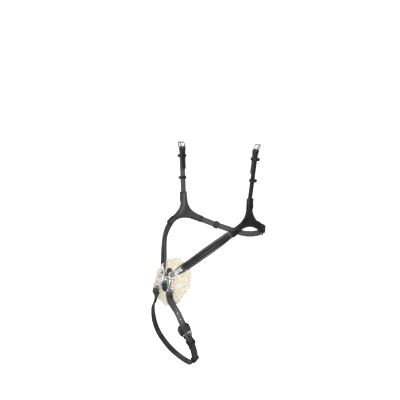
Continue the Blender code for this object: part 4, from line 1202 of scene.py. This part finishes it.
def seam(rows, across, out, start, end):
    """Places of a seam on a route: across and out from its centre, between two lengths along it."""
    rows = cut_rows(smooth_rows(rows, SEAM_STEP), start, end)
    return [(p + side * across + normal * out, normal * np.sign(out)) for p, _, normal, side in frames(rows)]


def seams(rows, width, start, end, face=1):
    """Both edges' seams on a strap's outer face, or its inner one."""
    line = width / 2 - CREASE
    return [seam(rows, sign * line, face * LEATHER / 2, start, end) for sign in (1, -1)]


def outline_seam(outline, distance, height, place):
    """Stitching places that follow an outline at a distance inside it."""
    ring = inset_ring(np.array(outline, float), distance)
    result = []
    for spot in np.concatenate([ring, ring[:1]]):
        level = height(distance, spot)
        seat = place(spot, level)
        result.append((seat, place(spot, level + 1.0) - seat))
    return result


def buckle(part, bodies, seat, length=FRAME_LENGTH, word=""):
    """A wire frame and its tongue on one heel bar, both raised towards the frame's front."""
    centre, along, out = seat
    side = np.cross(out, along)
    forward = -along * math.cos(FRAME_TILT) + out * math.sin(FRAME_TILT)
    half = FRAME_WIDTH / 2
    corner = FRAME_CORNER
    path = []
    for u, v, turn in ((half, 0.0, -90), (half, length, 0), (-half, length, 90), (-half, 0.0, 180)):
        inward_u = u - math.copysign(corner, u)
        inward_v = v + (corner if v == 0.0 else -corner)
        arc = corner_arc(inward_u, inward_v, corner, turn, FRAME_CORNER_STEPS)
        path += [centre + side * across + forward * ahead for across, ahead in arc]
    ring = wire(f"{part}_buckle{word}", path, WIRE, STEEL)
    place_piece(ring, bodies[0], "buckle_steel", f"{part}_buckle_frame{word}")
    rows = tongue_rows(centre, forward, side, out, length + TONGUE_PAST)
    shares = [1.0] * (len(rows) - len(TONGUE_POINT)) + list(TONGUE_POINT)
    tongue = strap(f"{part}_tongue{word}", rows, oval(TONGUE_WIDTH, TONGUE_THICK), STEEL, shares, TONGUE_STEP)
    place_piece(tongue, bodies[1], "buckle_steel", f"{part}_buckle_tongue{word}")


def tongue_rows(centre, forward, side, out, reach):
    """Route of a tongue: curled round the heel bar, then straight to its point over the frame's front."""
    lift = np.cross(side, forward)
    lift *= np.sign(lift @ out)
    eye = WIRE + GAP + TONGUE_THICK / 2
    rows = []
    for i in range(TONGUE_CURL_STEPS + 1):
        angle = math.radians(TONGUE_CURL - TONGUE_CURL * i / TONGUE_CURL_STEPS)
        way = math.cos(angle) * lift - math.sin(angle) * forward
        rows.append((*(centre + eye * way), *way))
    start = np.array(rows[-1][:3])
    end = centre + forward * reach + lift * eye
    return rows + [(*(start + f * (end - start)), *lift) for f in TONGUE_RUN]


def oval(width, thick, count=14, fullness=0.7):
    """A rounded bar's section, flatter than a circle."""
    section = []
    for i in range(count):
        angle = 2 * math.pi * i / count
        x = math.copysign(abs(math.cos(angle)) ** fullness, math.cos(angle))
        y = math.copysign(abs(math.sin(angle)) ** fullness, math.sin(angle))
        section.append((x * width / 2, y * thick / 2, 0.0))
    return section


def buckled_strap(name, cad, body, rows, seat, material, flesh=False):
    """A strap folded round a heel bar, with the slot in its fold that the tongue comes through."""
    item = strap(name, rows, STRAP_PROFILE, material, flesh=flesh)
    centre, along, out = seat
    cutter = slot_cutter(centre + along * FOLD_SLOT_PAST, along, out, *FOLD_SLOT)
    combine(item, [cutter], "DIFFERENCE")
    place_piece(item, body, "strap_leather", cad)


def billet(name, cad, body, rows, holed, heel, holes, material, flesh=False):
    """A strap end with a rounded tip, the hole that the tongue is in and spare holes. Their places are
    lengths past the heel bar on the holed stretch, which is given as rows and each row's own length."""
    item = strap(name, rows, STRAP_PROFILE, material, tip_shares(rows), flesh=flesh)
    cutters = [slot_cutter(*place_on(*holed, heel - TONGUE_CROSSING), *TONGUE_HOLE)]
    cutters += [slot_cutter(*place_on(*holed, heel + place), *PUNCHED_HOLE) for place in holes]
    combine(item, cutters, "DIFFERENCE")
    place_piece(item, body, "strap_leather", cad)


def keeper_rim(width, low, high, corner):
    """Round-cornered rectangle as (across, out) pairs between two heights."""
    middle = (low + high) / 2
    half = (high - low) / 2
    rim = []
    for across, out, turn in CORNERS:
        x = across * (width / 2 - corner)
        rim += corner_arc(x, middle + out * (half - corner), corner, turn, KEEPER_CORNER_STEPS)
    return rim


def keeper(part, which, body, seat, room, length):
    """A leather loop with rounded lips and a pressed line along each edge."""
    centre, along, out = seat
    low, high = room
    along = unit(along)
    out = square_to(out, along)
    side = np.cross(out, along)
    middle = (low + high) / 2
    rims = {}
    for face, reach, corner in zip(("inner", "outer"), (GAP, GAP + KEEPER_THICK), KEEPER_CORNERS):
        rims[face] = keeper_rim(STRAP_WIDTH + 2 * reach, low - reach, high + reach, corner)
    levels = [(face, -share, shrink, rub) for face, share, shrink, rub in KEEPER_LIP]
    levels += [KEEPER_CROWN, *KEEPER_LIP[::-1]]
    points = []
    edge = []
    for face, share, shrink, rub in levels:
        ring = centre + out * middle + along * share * length
        for across, height in rims[face]:
            spot = np.array((across, height - middle))
            spot -= shrink * spot / np.linalg.norm(spot)
            points.append(ring + side * spot[0] + out * spot[1])
            edge.append(rub)
    faces = rings_to_faces(len(levels), len(rims["inner"]), closed=True)
    item = mesh_piece(f"{part}_loop_{which}", points, faces, KEEPER, edge)
    place_piece(item, body, "strap_leather", f"{part}_keeper_{which}")


STRAP_PROFILE = strap_profile(STRAP_WIDTH)


def make_jowls():
    """Padded linings and stitched skins that lift where the three straps run under them."""
    outline = jowl_outline()

    def outer_top(distance, spot):
        swell = rise(max(0.0, distance - JOWL_SEAM), *JOWL_SWELL)
        level = GAP / 2 + LEATHER - JOWL_THIN + swell - fade(distance, *JOWL_ROLL)
        return level - dent(distance, JOWL_SEAM, *JOWL_DENT) + JOWL_LIFT * tucked(spot)

    def outer_foot(distance, spot):
        return GAP / 2 + fade(distance, *ROUNDED) + JOWL_LIFT * tucked(spot)

    def lining_top(distance, spot):
        return -GAP - fade(distance, *ROUNDED)

    def lining_foot(distance, spot):
        crown = rise(max(0.0, distance - LINING_CROWN_FROM), *LINING_CROWN)
        level = -GAP - LINING_EDGE - crown + fade(distance, *LINING_ROLL)
        return level + dent(distance, JOWL_SEAM, *LINING_DENT)

    for side, word in SIDES:
        place = on_cheek(side)
        net = (outline, JOWL_RINGS, JOWL_SPACING)
        skin = sheet(f"jowl_skin_{word}", *net, outer_top, outer_foot, place, PADDED)
        place_piece(skin, "noseband", "strap_leather", f"jowl_outer_{word}")
        pad = sheet(f"jowl_pad_{word}", *net, lining_top, lining_foot, place, LINING)
        place_piece(pad, "noseband", "lining_leather", f"jowl_lining_{word}")
        front = outline_seam(outline, JOWL_SEAM, outer_top, place)
        back = outline_seam(outline, JOWL_SEAM, lining_foot, place)
        back = [(point, -normal) for point, normal in back]
        stitches(f"jowl_stitching_{word}", [front, back], "noseband")


def make_cheek(side, word):
    """A cheek strap folded round its buckle's heel bar and stitched, with its buckle and two keepers."""
    bar, foot, along, out = cheek_line(side)
    length = np.linalg.norm(foot - bar)
    straight = [(*(bar + along * length * i / CHEEK_SPANS), *out) for i in range(CHEEK_SPANS + 1)]
    y, z = CHEEK_FOOT
    tuck = cheek_rows([(y, z - CHEEK_TUCK / 2), (y, z - CHEEK_TUCK)])
    centre = squared(np.concatenate([straight, tuck if side > 0 else mirrored(tuck)]))
    rows = folded(centre, CHEEK_TURNBACK)
    seat = (bar, along, out)
    buckled_strap(f"cheek_leather_{word}", f"cheek_strap_{word}", "noseband", rows, seat, STRAP, flesh=True)
    buckle("cheek", (f"buckle_{word}", f"tongue_{word}"), seat, word=f"_{word}")
    low = -HALF_STACK - LEATHER / 2
    high = HALF_STACK + LEATHER / 2 + KEEPER_ROOM
    upper = bar + along * (CHEEK_KEEPER_UP - CHEEK_BAR_DROP)
    keeper("cheek", f"upper_{word}", "noseband", (upper, along, out), (low, high), KEEPER_LENGTH)
    lower = bar + along * (CHEEK_KEEPER_DOWN[side] - CHEEK_BAR_DROP)
    room = (HALF_STACK - LEATHER / 2, high)
    keeper("cheek", f"lower_{word}", f"cheek_slider_{word}", (lower, along, out), room, KEEPER_LENGTH)
    front = lifted(centre, HALF_STACK)
    back = lifted(centre, -HALF_STACK)
    runs = seams(front, STRAP_WIDTH, SEAM_START, CHEEK_TURNBACK - CHEEK_SEAM_SHORT[0])
    runs += seams(back, STRAP_WIDTH, SEAM_START, CHEEK_TURNBACK - CHEEK_SEAM_SHORT[1], face=-1)
    stitches(f"cheek_stitching_{word}", runs, "noseband")


def raised_profile():
    """An arch with a flat foot and a narrow flange each side for its seam."""
    half = RAISED_WIDTH / 2
    flange = [(half - inset, height, rub) for inset, height, rub in FLANGE]
    arch = []
    for i in range(ARCH_STEPS + 1):
        angle = math.radians(ARCH_SPAN[0] + ARCH_SPAN[1] * i / ARCH_STEPS)
        height = RAISED_FOOT + (RAISED_HEIGHT - RAISED_FOOT) * math.sin(angle) ** ARCH_FULLNESS
        arch.append(((half - ARCH_INSET) * math.cos(angle), height, 0.0))
    return flange + arch + [(-x, height, rub) for x, height, rub in flange[::-1]] + [(0.0, 0.0, 0.0)]


def lining_profile():
    """A flat top with a padded bulge under it."""
    half = NOSE_WIDTH / 2 - NOSE_LINING_INSET
    edge = [(half, -NOSE_LINING_SIDE, NOSE_LINING_RUB), (half, 0.0, NOSE_LINING_RUB)]
    side = NOSE_LINING_SIDE + NOSE_LINING_TUCK
    section = [(-x, height, rub) for x, height, rub in edge[::-1]]
    for i in range(NOSE_LINING_STEPS + 1):
        angle = math.radians(180 + 180 / NOSE_LINING_STEPS * i)
        height = -side + (NOSE_LINING - side) * math.sin(angle)
        section.append(((half - NOSE_LINING_TUCK) * math.cos(angle), height, 0.0))
    section += edge + [(0.0, 0.0, 0.0)]
    return section[::-1]


def make_nose(side, word):
    """A nose strap that narrows to its link, its raised padded centre, its lining and their seams."""
    rows = nose_rows(side)
    along = lengths(rows)
    total = along[-1]
    base = lifted(rows, HALF_STACK)
    shares = []
    for s in along:
        taper = fade(s, *NOSE_START_TAPER) + fade(total - s, *NOSE_END_TAPER)
        shares.append(1.0 - taper / NOSE_WIDTH)
    item = strap(f"nose_leather_{word}", base, strap_profile(NOSE_WIDTH), NOSE, shares)
    place_piece(item, "noseband", "strap_leather", f"nose_strap_{word}")
    end = total - LINK_LENGTH + RAISED_END
    raised = cut_rows(lifted(rows, HALF_STACK + LEATHER / 2 + GAP), NOSE_UNDER_JOWL, end)
    item = strap(f"nose_raised_leather_{word}", raised, raised_profile(), PADDED)
    place_piece(item, "noseband", "strap_leather", f"nose_strap_raised_{word}")
    start = NOSE_UNDER_JOWL + NOSE_LINING_START
    under = cut_rows(lifted(rows, -GAP / 2), start, total - NOSE_LINING_END)
    item = strap(f"nose_lining_leather_{word}", under, lining_profile(), LINING)
    place_piece(item, "noseband", "lining_leather", f"nose_strap_lining_{word}")
    runs = seams(base, NOSE_WIDTH, NOSE_UNDER_JOWL, total - NOSE_SEAM_END)
    line = RAISED_WIDTH / 2 + RAISED_SEAM
    runs += [seam(base, s * line, LEATHER / 2, NOSE_UNDER_JOWL, end) for s in (1, -1)]
    stitches(f"nose_stitching_{word}", runs, "noseband")


def make_chin():
    """The chin loop: a long strap with its buckle, guard and keepers, and the billet through the buckle."""
    whole = chin_loop()
    left = whole[::-1][: len(whole) // 2 + 1]
    centre = cut_rows(whole, 0.0, lengths(whole)[-1] - CHIN_HEEL)
    rows = folded(centre, LUG_TURNBACK, CHIN_TURNBACK, LUG_FOLD)
    point, travel, normal, _ = frames(centre)[-1]
    seat = (point, -travel, normal)
    buckled_strap("chin_leather", "chin_strap", "chin_loop", rows, seat, BILLET)
    buckle("chin", ("chin_loop", "chin_loop"), seat, CHIN_FRAME_LENGTH)
    make_chin_billet(left)
    make_chin_guard(*seat)
    along = lengths(left)
    for which, body, past_heel, room, length in CHIN_KEEPERS:
        keeper("chin", which, body, place_on(left, along, CHIN_HEEL + past_heel), room, length)
    runs = []
    for face in (1, -1):
        rows = lifted(centre, face * HALF_STACK)
        total = lengths(rows)[-1]
        runs += seams(rows, STRAP_WIDTH, SEAM_START, LUG_SEAM_END, face)
        runs += seams(rows, STRAP_WIDTH, total - CHIN_BUCKLE_SEAM[0], total - CHIN_BUCKLE_SEAM[1], face)
    stitches("chin_stitching", runs, "chin_loop")


def make_chin_billet(left):
    """The short end from the left lower lug, through the buckle to its rounded tip."""
    centre = cut_rows(squared(smooth_rows(left, CLOSE_STEP)), 0.0, CHIN_HEEL + CHIN_TIP)
    along = lengths(centre)
    radius = LUG_FOLD + GAP + LEATHER / 2
    spread = fold_spread(along, radius)
    main = lifted(centre, buckled_heights(along - CHIN_HEEL, CHIN_FRAME_LENGTH) + spread)
    turned = cut_rows(lifted(centre, -HALF_STACK - spread), 0.0, LUG_TURNBACK)
    inner = turned * (1, 1, 1, -1, -1, -1)
    point, travel, normal, _ = frames(centre)[0]
    arc = fold_arc(point, travel, normal, radius)
    rows = with_tip(np.concatenate([inner[::-1], arc[::-1], main]))
    holed = (main, along)
    billet("chin_billet_leather", "chin_billet", "chin_loop", rows, holed, CHIN_HEEL, CHIN_HOLES, BILLET)
    runs = seams(main, STRAP_WIDTH, SEAM_START, LUG_SEAM_END)
    runs += seams(turned, STRAP_WIDTH, SEAM_START, LUG_SEAM_END, face=-1)
    stitches("chin_billet_stitching", runs, "chin_loop")


def make_chin_guard(point, away, normal):
    """The leather guard between the chin buckle and the skin, bent a little."""
    across = np.cross(normal, away)
    origin = point - normal * (HALF_STACK + LEATHER / 2 + GAP)

    def place(spot, height):
        drop = SAFE_BEND * max(0.0, spot[1]) ** 2
        return origin + across * spot[0] - away * spot[1] + normal * (height - drop)

    def top(distance, spot):
        return SAFE_FRONT - fade(distance, *ROUNDED) - dent(distance, SAFE_SEAM, *SAFE_DENT)

    def foot(distance, spot):
        return SAFE_BACK + fade(distance, *ROUNDED)

    outline = both_halves(curve_2d(SAFE_OUTLINE, SAFE_STEP) + [SAFE_TAIL])
    item = sheet("chin_guard_leather", outline, SAFE_RINGS, SAFE_SPACING, top, foot, place, BILLET)
    place_piece(item, "chin_loop", "strap_leather", "chin_buckle_safe")


def make_jaw():
    """The jaw strap round the back of the jaw, the short end that holds its buckle, and its keepers."""
    route = jaw_rows()
    total = lengths(route)[-1]
    heel = total - JAW_CHAPE
    centre = cut_rows(route[::-1], 0.0, JAW_CHAPE)[::-1]
    rows = folded(centre, JAW_CHAPE - JAW_CHAPE_OPEN)
    seat = frames(centre)[0][:3]
    buckled_strap("jaw_chape_leather", "jaw_chape", "noseband", rows, seat, STRAP)
    buckle("jaw", ("noseband", "noseband"), seat)
    fine = squared(smooth_rows(route, CLOSE_STEP))
    along = lengths(fine)
    over_jowl = GAP / 2 + JOWL_LIFT + LEATHER + 2 * GAP + LEATHER / 2
    climb = (over_jowl - BILLET_LEVEL) * smooth_step((along - total + JAW_RISE_FROM) / JAW_RISE_RAMP)
    main = lifted(fine, buckled_heights(along - heel) + climb)
    holed = (main, along)
    billet("jaw_leather", "jaw_strap", "noseband", with_tip(main), holed, heel, JAW_HOLES, STRAP, True)
    along = lengths(route)
    for place, (which, body, room, length) in zip((heel + JAW_FIXED, JAW_SLIDING), JAW_KEEPERS):
        keeper("jaw", which, body, place_on(route, along, place), room, length)


def pad_bend(spot):
    """How far back the pad curves round the nose."""
    up = spot[1] + PAD_UP
    below = PAD_BEND_BELOW[1] * min(0.0, up - PAD_BEND_BELOW[0]) ** 2
    above = PAD_BEND_ABOVE[1] * max(0.0, up - PAD_BEND_ABOVE[0]) ** 2
    return below + above + PAD_CUP * spot[0] ** 2


def pad_groove(spot):
    """How far a nose strap presses into the wool."""
    _, way, _ = link_frame()
    way = unit((way[0], np.dot(way, FACE_UP)))
    from_bar = np.array((abs(spot[0]), spot[1] + PAD_UP)) - UPPER_LUG
    reach = from_bar @ way
    aside = from_bar[0] * way[1] - from_bar[1] * way[0]
    return PAD_GROOVE * smooth_step(reach / PAD_GROOVE_RAMP) * math.exp(-((aside / PAD_GROOVE_WIDTH) ** 2))


def pad_point(spot, depth):
    """A place in the fleece pad: depth is measured back from its front face."""
    front = pad_groove(spot) * max(0.0, 1.0 - depth / PAD_THICK)
    height = -2 * GAP - BACKING_THICK - pad_bend(spot) - front - depth
    return face_point(spot[0], spot[1] + PAD_UP, height)


def pad_radius(angle):
    """The cut edge of the sheepskin, slightly out of round."""
    wave = sum(height * math.sin(count * angle + phase) for height, count, phase in PAD_WAVES)
    edge = 1.0 / math.hypot(math.cos(angle) / PAD_HALF_WIDTH, math.sin(angle) / PAD_HALF_HEIGHT)
    return edge - PAD_CUT + wave


def make_fleece_skin():
    """The rounded, slightly lumpy pad that carries the wool."""
    points = []
    for ring in range(PAD_RINGS + 1):
        turn = math.pi * ring / PAD_RINGS
        reach = max(math.sin(turn) ** PAD_EDGE_FULLNESS[0], PAD_LEAST_RING)
        forward = math.copysign(abs(math.cos(turn)) ** PAD_EDGE_FULLNESS[1], math.cos(turn))
        depth = min(max(PAD_THICK / 2 * (1.0 - forward), PAD_FACES[0]), PAD_THICK - PAD_FACES[1])
        for i in range(PAD_SIDES):
            angle = 2 * math.pi * i / PAD_SIDES
            radius = (pad_radius(angle) - PAD_SKIN) * reach
            waves = [math.sin(rate * radius + count * angle) for rate, count in LUMP_WAVES]
            lump = math.prod(waves, start=PAD_LUMP)
            points.append(pad_point((radius * math.cos(angle), radius * math.sin(angle)), depth + lump))
    # The pad's skin takes mostly the darker root tone: painted shade beneath the locks.
    edge = np.full(len(points), PAD_ROOT_SHADE)
    skin = mesh_piece("fleece_skin", points, rings_to_faces(PAD_RINGS + 1, PAD_SIDES), WOOL, edge)
    place_piece(skin, "noseband", "fleece", "fleece_pad")


def lock_root(rng, kind):
    """Where a lock grows: its share of the pad's radius, its depth, and how far it faces the front and the
    side."""
    if FRONT_LOCKS <= kind < EDGE_LOCKS:
        return rng.uniform(*EDGE_ROOTS), rng.uniform(*EDGE_ROOT_DEPTH), rng.uniform(*EDGE_FACING), 1.0
    front = kind < FRONT_LOCKS
    share = math.sqrt(rng.uniform(*(FRONT_ROOTS if front else BACK_ROOTS)))
    least, more = FRONT_OUTWARD if front else BACK_OUTWARD
    outward = least + more * share
    return (share, FRONT_ROOT_DEPTH, 1.0, outward) if front else (share, BACK_ROOT_DEPTH, -1.0, outward)


def lock_growth(angle, share):
    """How much longer the wool hangs out near the edge on a few sides."""
    longer = 1.0
    for toward, gain in LONG_WOOL:
        facing = max(0.0, math.cos(angle - math.radians(toward)) - LONG_WOOL_FROM)
        longer += gain * share**2 * facing / (1.0 - LONG_WOOL_FROM)
    return longer


def make_locks():
    """Crowded, curling locks of wool on the front, the edge and the back of the pad."""
    rng = random.Random(WOOL_SEED)
    points = []
    faces = []
    tones = []
    for _ in range(LOCKS):
        angle = rng.uniform(0.0, 2 * math.pi)
        kind = rng.random()
        share, depth, facing, outward = lock_root(rng, kind)
        radius = share * (pad_radius(angle) - PAD_CUT)
        root = pad_point((radius * math.cos(angle), radius * math.sin(angle)), depth)
        longer = 1.0 if kind < FRONT_LOCKS else lock_growth(angle, share)
        radial = unit(face_point(math.cos(angle), math.sin(angle), 0.0) - CENTRE)
        stray = np.array([rng.gauss(0, LOCK_STRAY) for _ in range(3)])
        way = unit(facing * FACE_OUT * LOCK_OUT + radial * outward + stray)
        if longer > 1.0:
            way = unit(way - max(0.0, np.dot(way, FACE_OUT)) * FACE_OUT)
        length = rng.uniform(*(FRONT_LOCK_LENGTH if kind < FRONT_LOCKS else LOCK_LENGTH)) * longer
        base = len(points)
        add_lock(points, tones, rng, root, way, length)
        faces += [tuple(base + i for i in face) for face in rings_to_faces(LOCK_LEVELS, LOCK_SIDES)]
    locks = mesh_piece("fleece_locks", points, faces, WOOL, tones)
    place_piece(locks, "noseband", "fleece")


def add_lock(points, tones, rng, root, way, length):
    """One tapering, waved lock of wool."""
    thick = rng.uniform(*LOCK_THICK)
    side = square_to(LOCK_SIDEWAYS, way)
    up = np.cross(way, side)
    phase = rng.uniform(0, 2 * math.pi)
    wave = rng.uniform(*LOCK_WAVE)
    tone = rng.uniform(*LOCK_TONE)
    full, loss, power = LOCK_TAPER
    root_shade, to_tip = LOCK_SHADE
    for level in range(LOCK_LEVELS):
        f = level / (LOCK_LEVELS - 1)
        curl = phase + f * LOCK_CURL
        aside = wave * f * (side * math.cos(curl) + up * math.sin(curl))
        middle = root + way * length * (f - LOCK_ROOT) + aside
        points += circle(middle, side, up, thick * (full - loss * f**power), LOCK_SIDES, f * LOCK_TWIST)
        # Each lock is darker towards its root by painted shade, times its own random tone.
        tones += [tone * (root_shade + to_tip * f)] * LOCK_SIDES


def make_backing():
    """The leather tab under the casting, whose top end is a thick roll."""

    def top(distance, spot):
        rolled = smooth_step((spot[1] - BACKING_ROLL_FROM) / BACKING_ROLL_RAMP)
        edge = fade(distance, *BACKING_EDGE) + rolled * fade(distance, *BACKING_ROLL_SIDE)
        return BACKING_ROLL * rolled - GAP - edge - dent(distance, BACKING_SEAM, *BACKING_DENT)

    def foot(distance, spot):
        return -GAP - BACKING_THICK + fade(distance, *BACKING_FOOT_EDGE)

    outline = both_halves(curve_2d(BACKING_OUTLINE, BACKING_STEP))
    item = sheet("centre_tab", outline, BACKING_RINGS, BACKING_SPACING, top, foot, on_face, STRAP)
    place_piece(item, "noseband", "strap_leather", "centre_backing")


def casting_half():
    """Right half of the casting's outline: waisted between an upper and a lower arm."""
    waist = curve_2d(CASTING_NOTCH, CASTING_STEP) + curve_2d(CASTING_WAIST, CASTING_STEP)
    return waist + [CASTING_ARM_END] + curve_2d(CASTING_FOOT, CASTING_STEP)


def lug(bar, across, way, length, radius, prong):
    """Two prongs with a bar between them, which a link or a strap goes round."""
    solids = []
    for sign in (1, -1):
        middle = bar + across * sign * (length / 2 + PRONG / 2)
        ends = [middle + way * reach for reach in prong]
        solids.append(cylinder("prong", *ends, PRONG_RADIUS, CHROME))
    ends = [bar + across * sign * (length / 2 + PRONG * BAR_INTO_PRONG) for sign in (1, -1)]
    return solids + [cylinder("bar", *ends, radius, CHROME)]


def side_loop(side):
    """The wire loop at one side of the casting."""
    arc = smooth_rows([(side * a, b, 0.0) for a, b in SIDE_ARC], SIDE_ARC_STEP)
    path = [face_point(a, b, BAR_OUT - SIDE_ARC_BACK) for a, b, _ in arc]
    return wire("arc", path, SIDE_WIRE, CHROME, closed=False, sides=12)


def make_casting():
    """The domed, waisted chrome casting with its lugs and side loops."""

    def top(distance, spot):
        dome = CASTING_DOME * max(0.0, 1.0 - (spot[0] / CASTING_DOME_REACH) ** 2)
        return CASTING_THICK + CASTING_PROUD + dome - fade(distance, *CASTING_SHOULDER)

    def foot(distance, spot):
        return fade(distance, *CASTING_BACK_EDGE)

    outline = both_halves(casting_half())
    body = sheet("centre_chrome", outline, CASTING_RINGS, CASTING_SPACING, top, foot, on_face, CHROME)
    extras = []
    for side, _ in SIDES:
        bar, way, out = link_frame(side)
        extras += lug(bar, np.cross(out, way), way, UPPER_BAR_LENGTH, UPPER_BAR, UPPER_PRONG)
        bar = face_point(side * LOWER_LUG[0], LOWER_LUG[1], BAR_OUT)
        extras += lug(bar, ACROSS, FACE_UP, LOWER_BAR_LENGTH, LOWER_BAR, LOWER_PRONG)
        extras.append(side_loop(side))
    combine(body, extras, "UNION")
    melted(body)
    place_piece(body, "noseband", "fitting_chrome", "centre_casting")


def make_link(side, word):
    """The tapered chrome plate at a nose strap's end, curled round the casting's upper bar."""
    bar, way, out = link_frame(side)
    across = np.cross(out, way)
    narrow = UPPER_BAR_LENGTH / 2 - LINK_CLEAR
    half = [(a, LINK_LENGTH + b) for a, b in LINK_SPREAD]
    half += [LINK_WAIST] + [(narrow - LINK_NECK_IN, b) for b in LINK_NECK]
    half = curve_2d(half, LINK_STEP)
    outline = np.array(half[::-1] + [(-a, b) for a, b in half])

    def place(spot, height):
        return bar + across * spot[0] + way * spot[1] + out * height

    def top(distance, spot):
        return LINK_THICK / 2 + LINK_CROWN - fade(distance, *LINK_SHOULDER)

    def foot(distance, spot):
        return -LINK_THICK / 2 + fade(distance, *LINK_BACK_EDGE)

    plate = sheet(f"link_plate_{word}", outline, LINK_RINGS, LINK_SPACING, top, foot, place, CHROME)
    for name, reach, radius, operation in (
        ("knuckle", narrow, UPPER_BAR + GAP + LINK_CURL, "UNION"),
        ("bore", narrow + LINK_BORE_PAST, UPPER_BAR + GAP, "DIFFERENCE"),
    ):
        solid = cylinder(name, bar - across * reach, bar + across * reach, radius, CHROME, LINK_SIDES)
        combine(plate, [solid], operation)
    place_piece(plate, "noseband", "fitting_chrome", f"nose_link_{word}")


def make_rivet():
    """The domed head that holds the centre together."""
    foot = CASTING_THICK + CASTING_DOME + GAP
    points = []
    for radius, height in RIVET_RINGS:
        middle = face_point(0.0, RIVET_UP, foot + height)
        points += circle(middle, ACROSS, FACE_UP, radius, RIVET_SIDES)
    item = mesh_piece("centre_stud", points, rings_to_faces(len(RIVET_RINGS), RIVET_SIDES), CHROME)
    place_piece(item, "noseband", "fitting_chrome", "centre_rivet")


def make_floor():
    """A pale floor under the hanging piece."""
    glow = {"Emission_Color": WHITE, "Emission_Strength": FLOOR_GLOW}
    pale, tree, shader = principled("pale_floor", Roughness=0.9, **glow)
    colour = blend_colours(tree, noise(tree, scale=2.0), FLOOR_GREY, FLOOR_PALE)
    tree.links.new(colour, shader.inputs["Base Color"])
    corners = [(x * FLOOR_REACH, y * FLOOR_REACH, FLOOR_LEVEL) for x, y, _ in CORNERS]
    floor = mesh_piece("floor", corners, [(0, 1, 2, 3)], pale)
    floor.visible_diffuse = False
    floor.visible_glossy = False
    floor.visible_shadow = False


def make_surroundings():
    """Even light with a few brighter sides, and a plain pale backdrop for the camera."""
    world = bpy.data.worlds.new("studio")
    bpy.context.scene.world = world
    world.use_nodes = True
    tree = world.node_tree
    way = node(tree, "ShaderNodeTexCoord").outputs["Generated"]
    glow = STUDIO_GLOW
    for toward, start, full, gain in BRIGHT_SIDES:
        inputs = {0: way, 1: unit(toward)}
        facing = node(tree, "ShaderNodeVectorMath", inputs, operation="DOT_PRODUCT").outputs["Value"]
        glow = worked_out(tree, "ADD", glow, remap(tree, facing, start, full, 0.0, gain))
    seen = node(tree, "ShaderNodeLightPath").outputs["Is Camera Ray"]
    inputs = {"Factor": seen, "A": glow, "B": FLOOR_GLOW}
    background = tree.nodes["Background"]
    background.inputs["Color"].default_value = WHITE
    strength = node(tree, "ShaderNodeMix", inputs, data_type="FLOAT").outputs["Result"]
    tree.links.new(strength, background.inputs["Strength"])


def add_to_stage(name, data, spot, forward):
    """A light or camera at a place, looking a given way."""
    item = bpy.data.objects.new(name, data)
    bpy.context.collection.objects.link(item)
    item.location = spot
    item.rotation_euler = forward.to_track_quat("-Z", "Y").to_euler()
    return item


def make_lights():
    for name, spot, size, power in LIGHTS:
        lamp = bpy.data.lights.new(name, "AREA")
        lamp.size = size
        lamp.energy = power
        add_to_stage(name, lamp, spot, Vector(LIGHTS_AIM) - Vector(spot))


def make_camera():
    """The photograph's camera, placed so that the object's origin shows where it does there."""
    camera = bpy.data.cameras.new("camera")
    camera.lens = PHOTO_FOCUS / PHOTO_SIZE * CAMERA_SENSOR
    camera.sensor_width = CAMERA_SENSOR
    dip = math.atan(PHOTO_DIP / PHOTO_FOCUS)
    level = Vector((-math.sin(CAMERA_AZIMUTH), math.cos(CAMERA_AZIMUTH), 0.0))
    forward = level * math.cos(dip) - Vector((0.0, 0.0, math.sin(dip)))
    right = Vector((math.cos(CAMERA_AZIMUTH), math.sin(CAMERA_AZIMUTH), 0.0))
    up = right.cross(forward)
    aside = (PHOTO_ORIGIN[0] - PHOTO_SIZE / 2) / PHOTO_FOCUS
    above = (PHOTO_SIZE / 2 - PHOTO_ORIGIN[1]) / PHOTO_FOCUS
    spot = (-forward - right * aside - up * above) * CAMERA_DISTANCE
    bpy.context.scene.camera = add_to_stage("camera", camera, spot, forward)
    bpy.context.scene.view_settings.view_transform = "Standard"


make_floor()
make_surroundings()
make_lights()
make_camera()
make_jowls()
for side, word in SIDES:
    make_cheek(side, word)
    make_nose(side, word)
make_chin()
make_jaw()
make_fleece_skin()
make_locks()
make_backing()
make_casting()
for side, word in SIDES:
    make_link(side, word)
make_rivet()
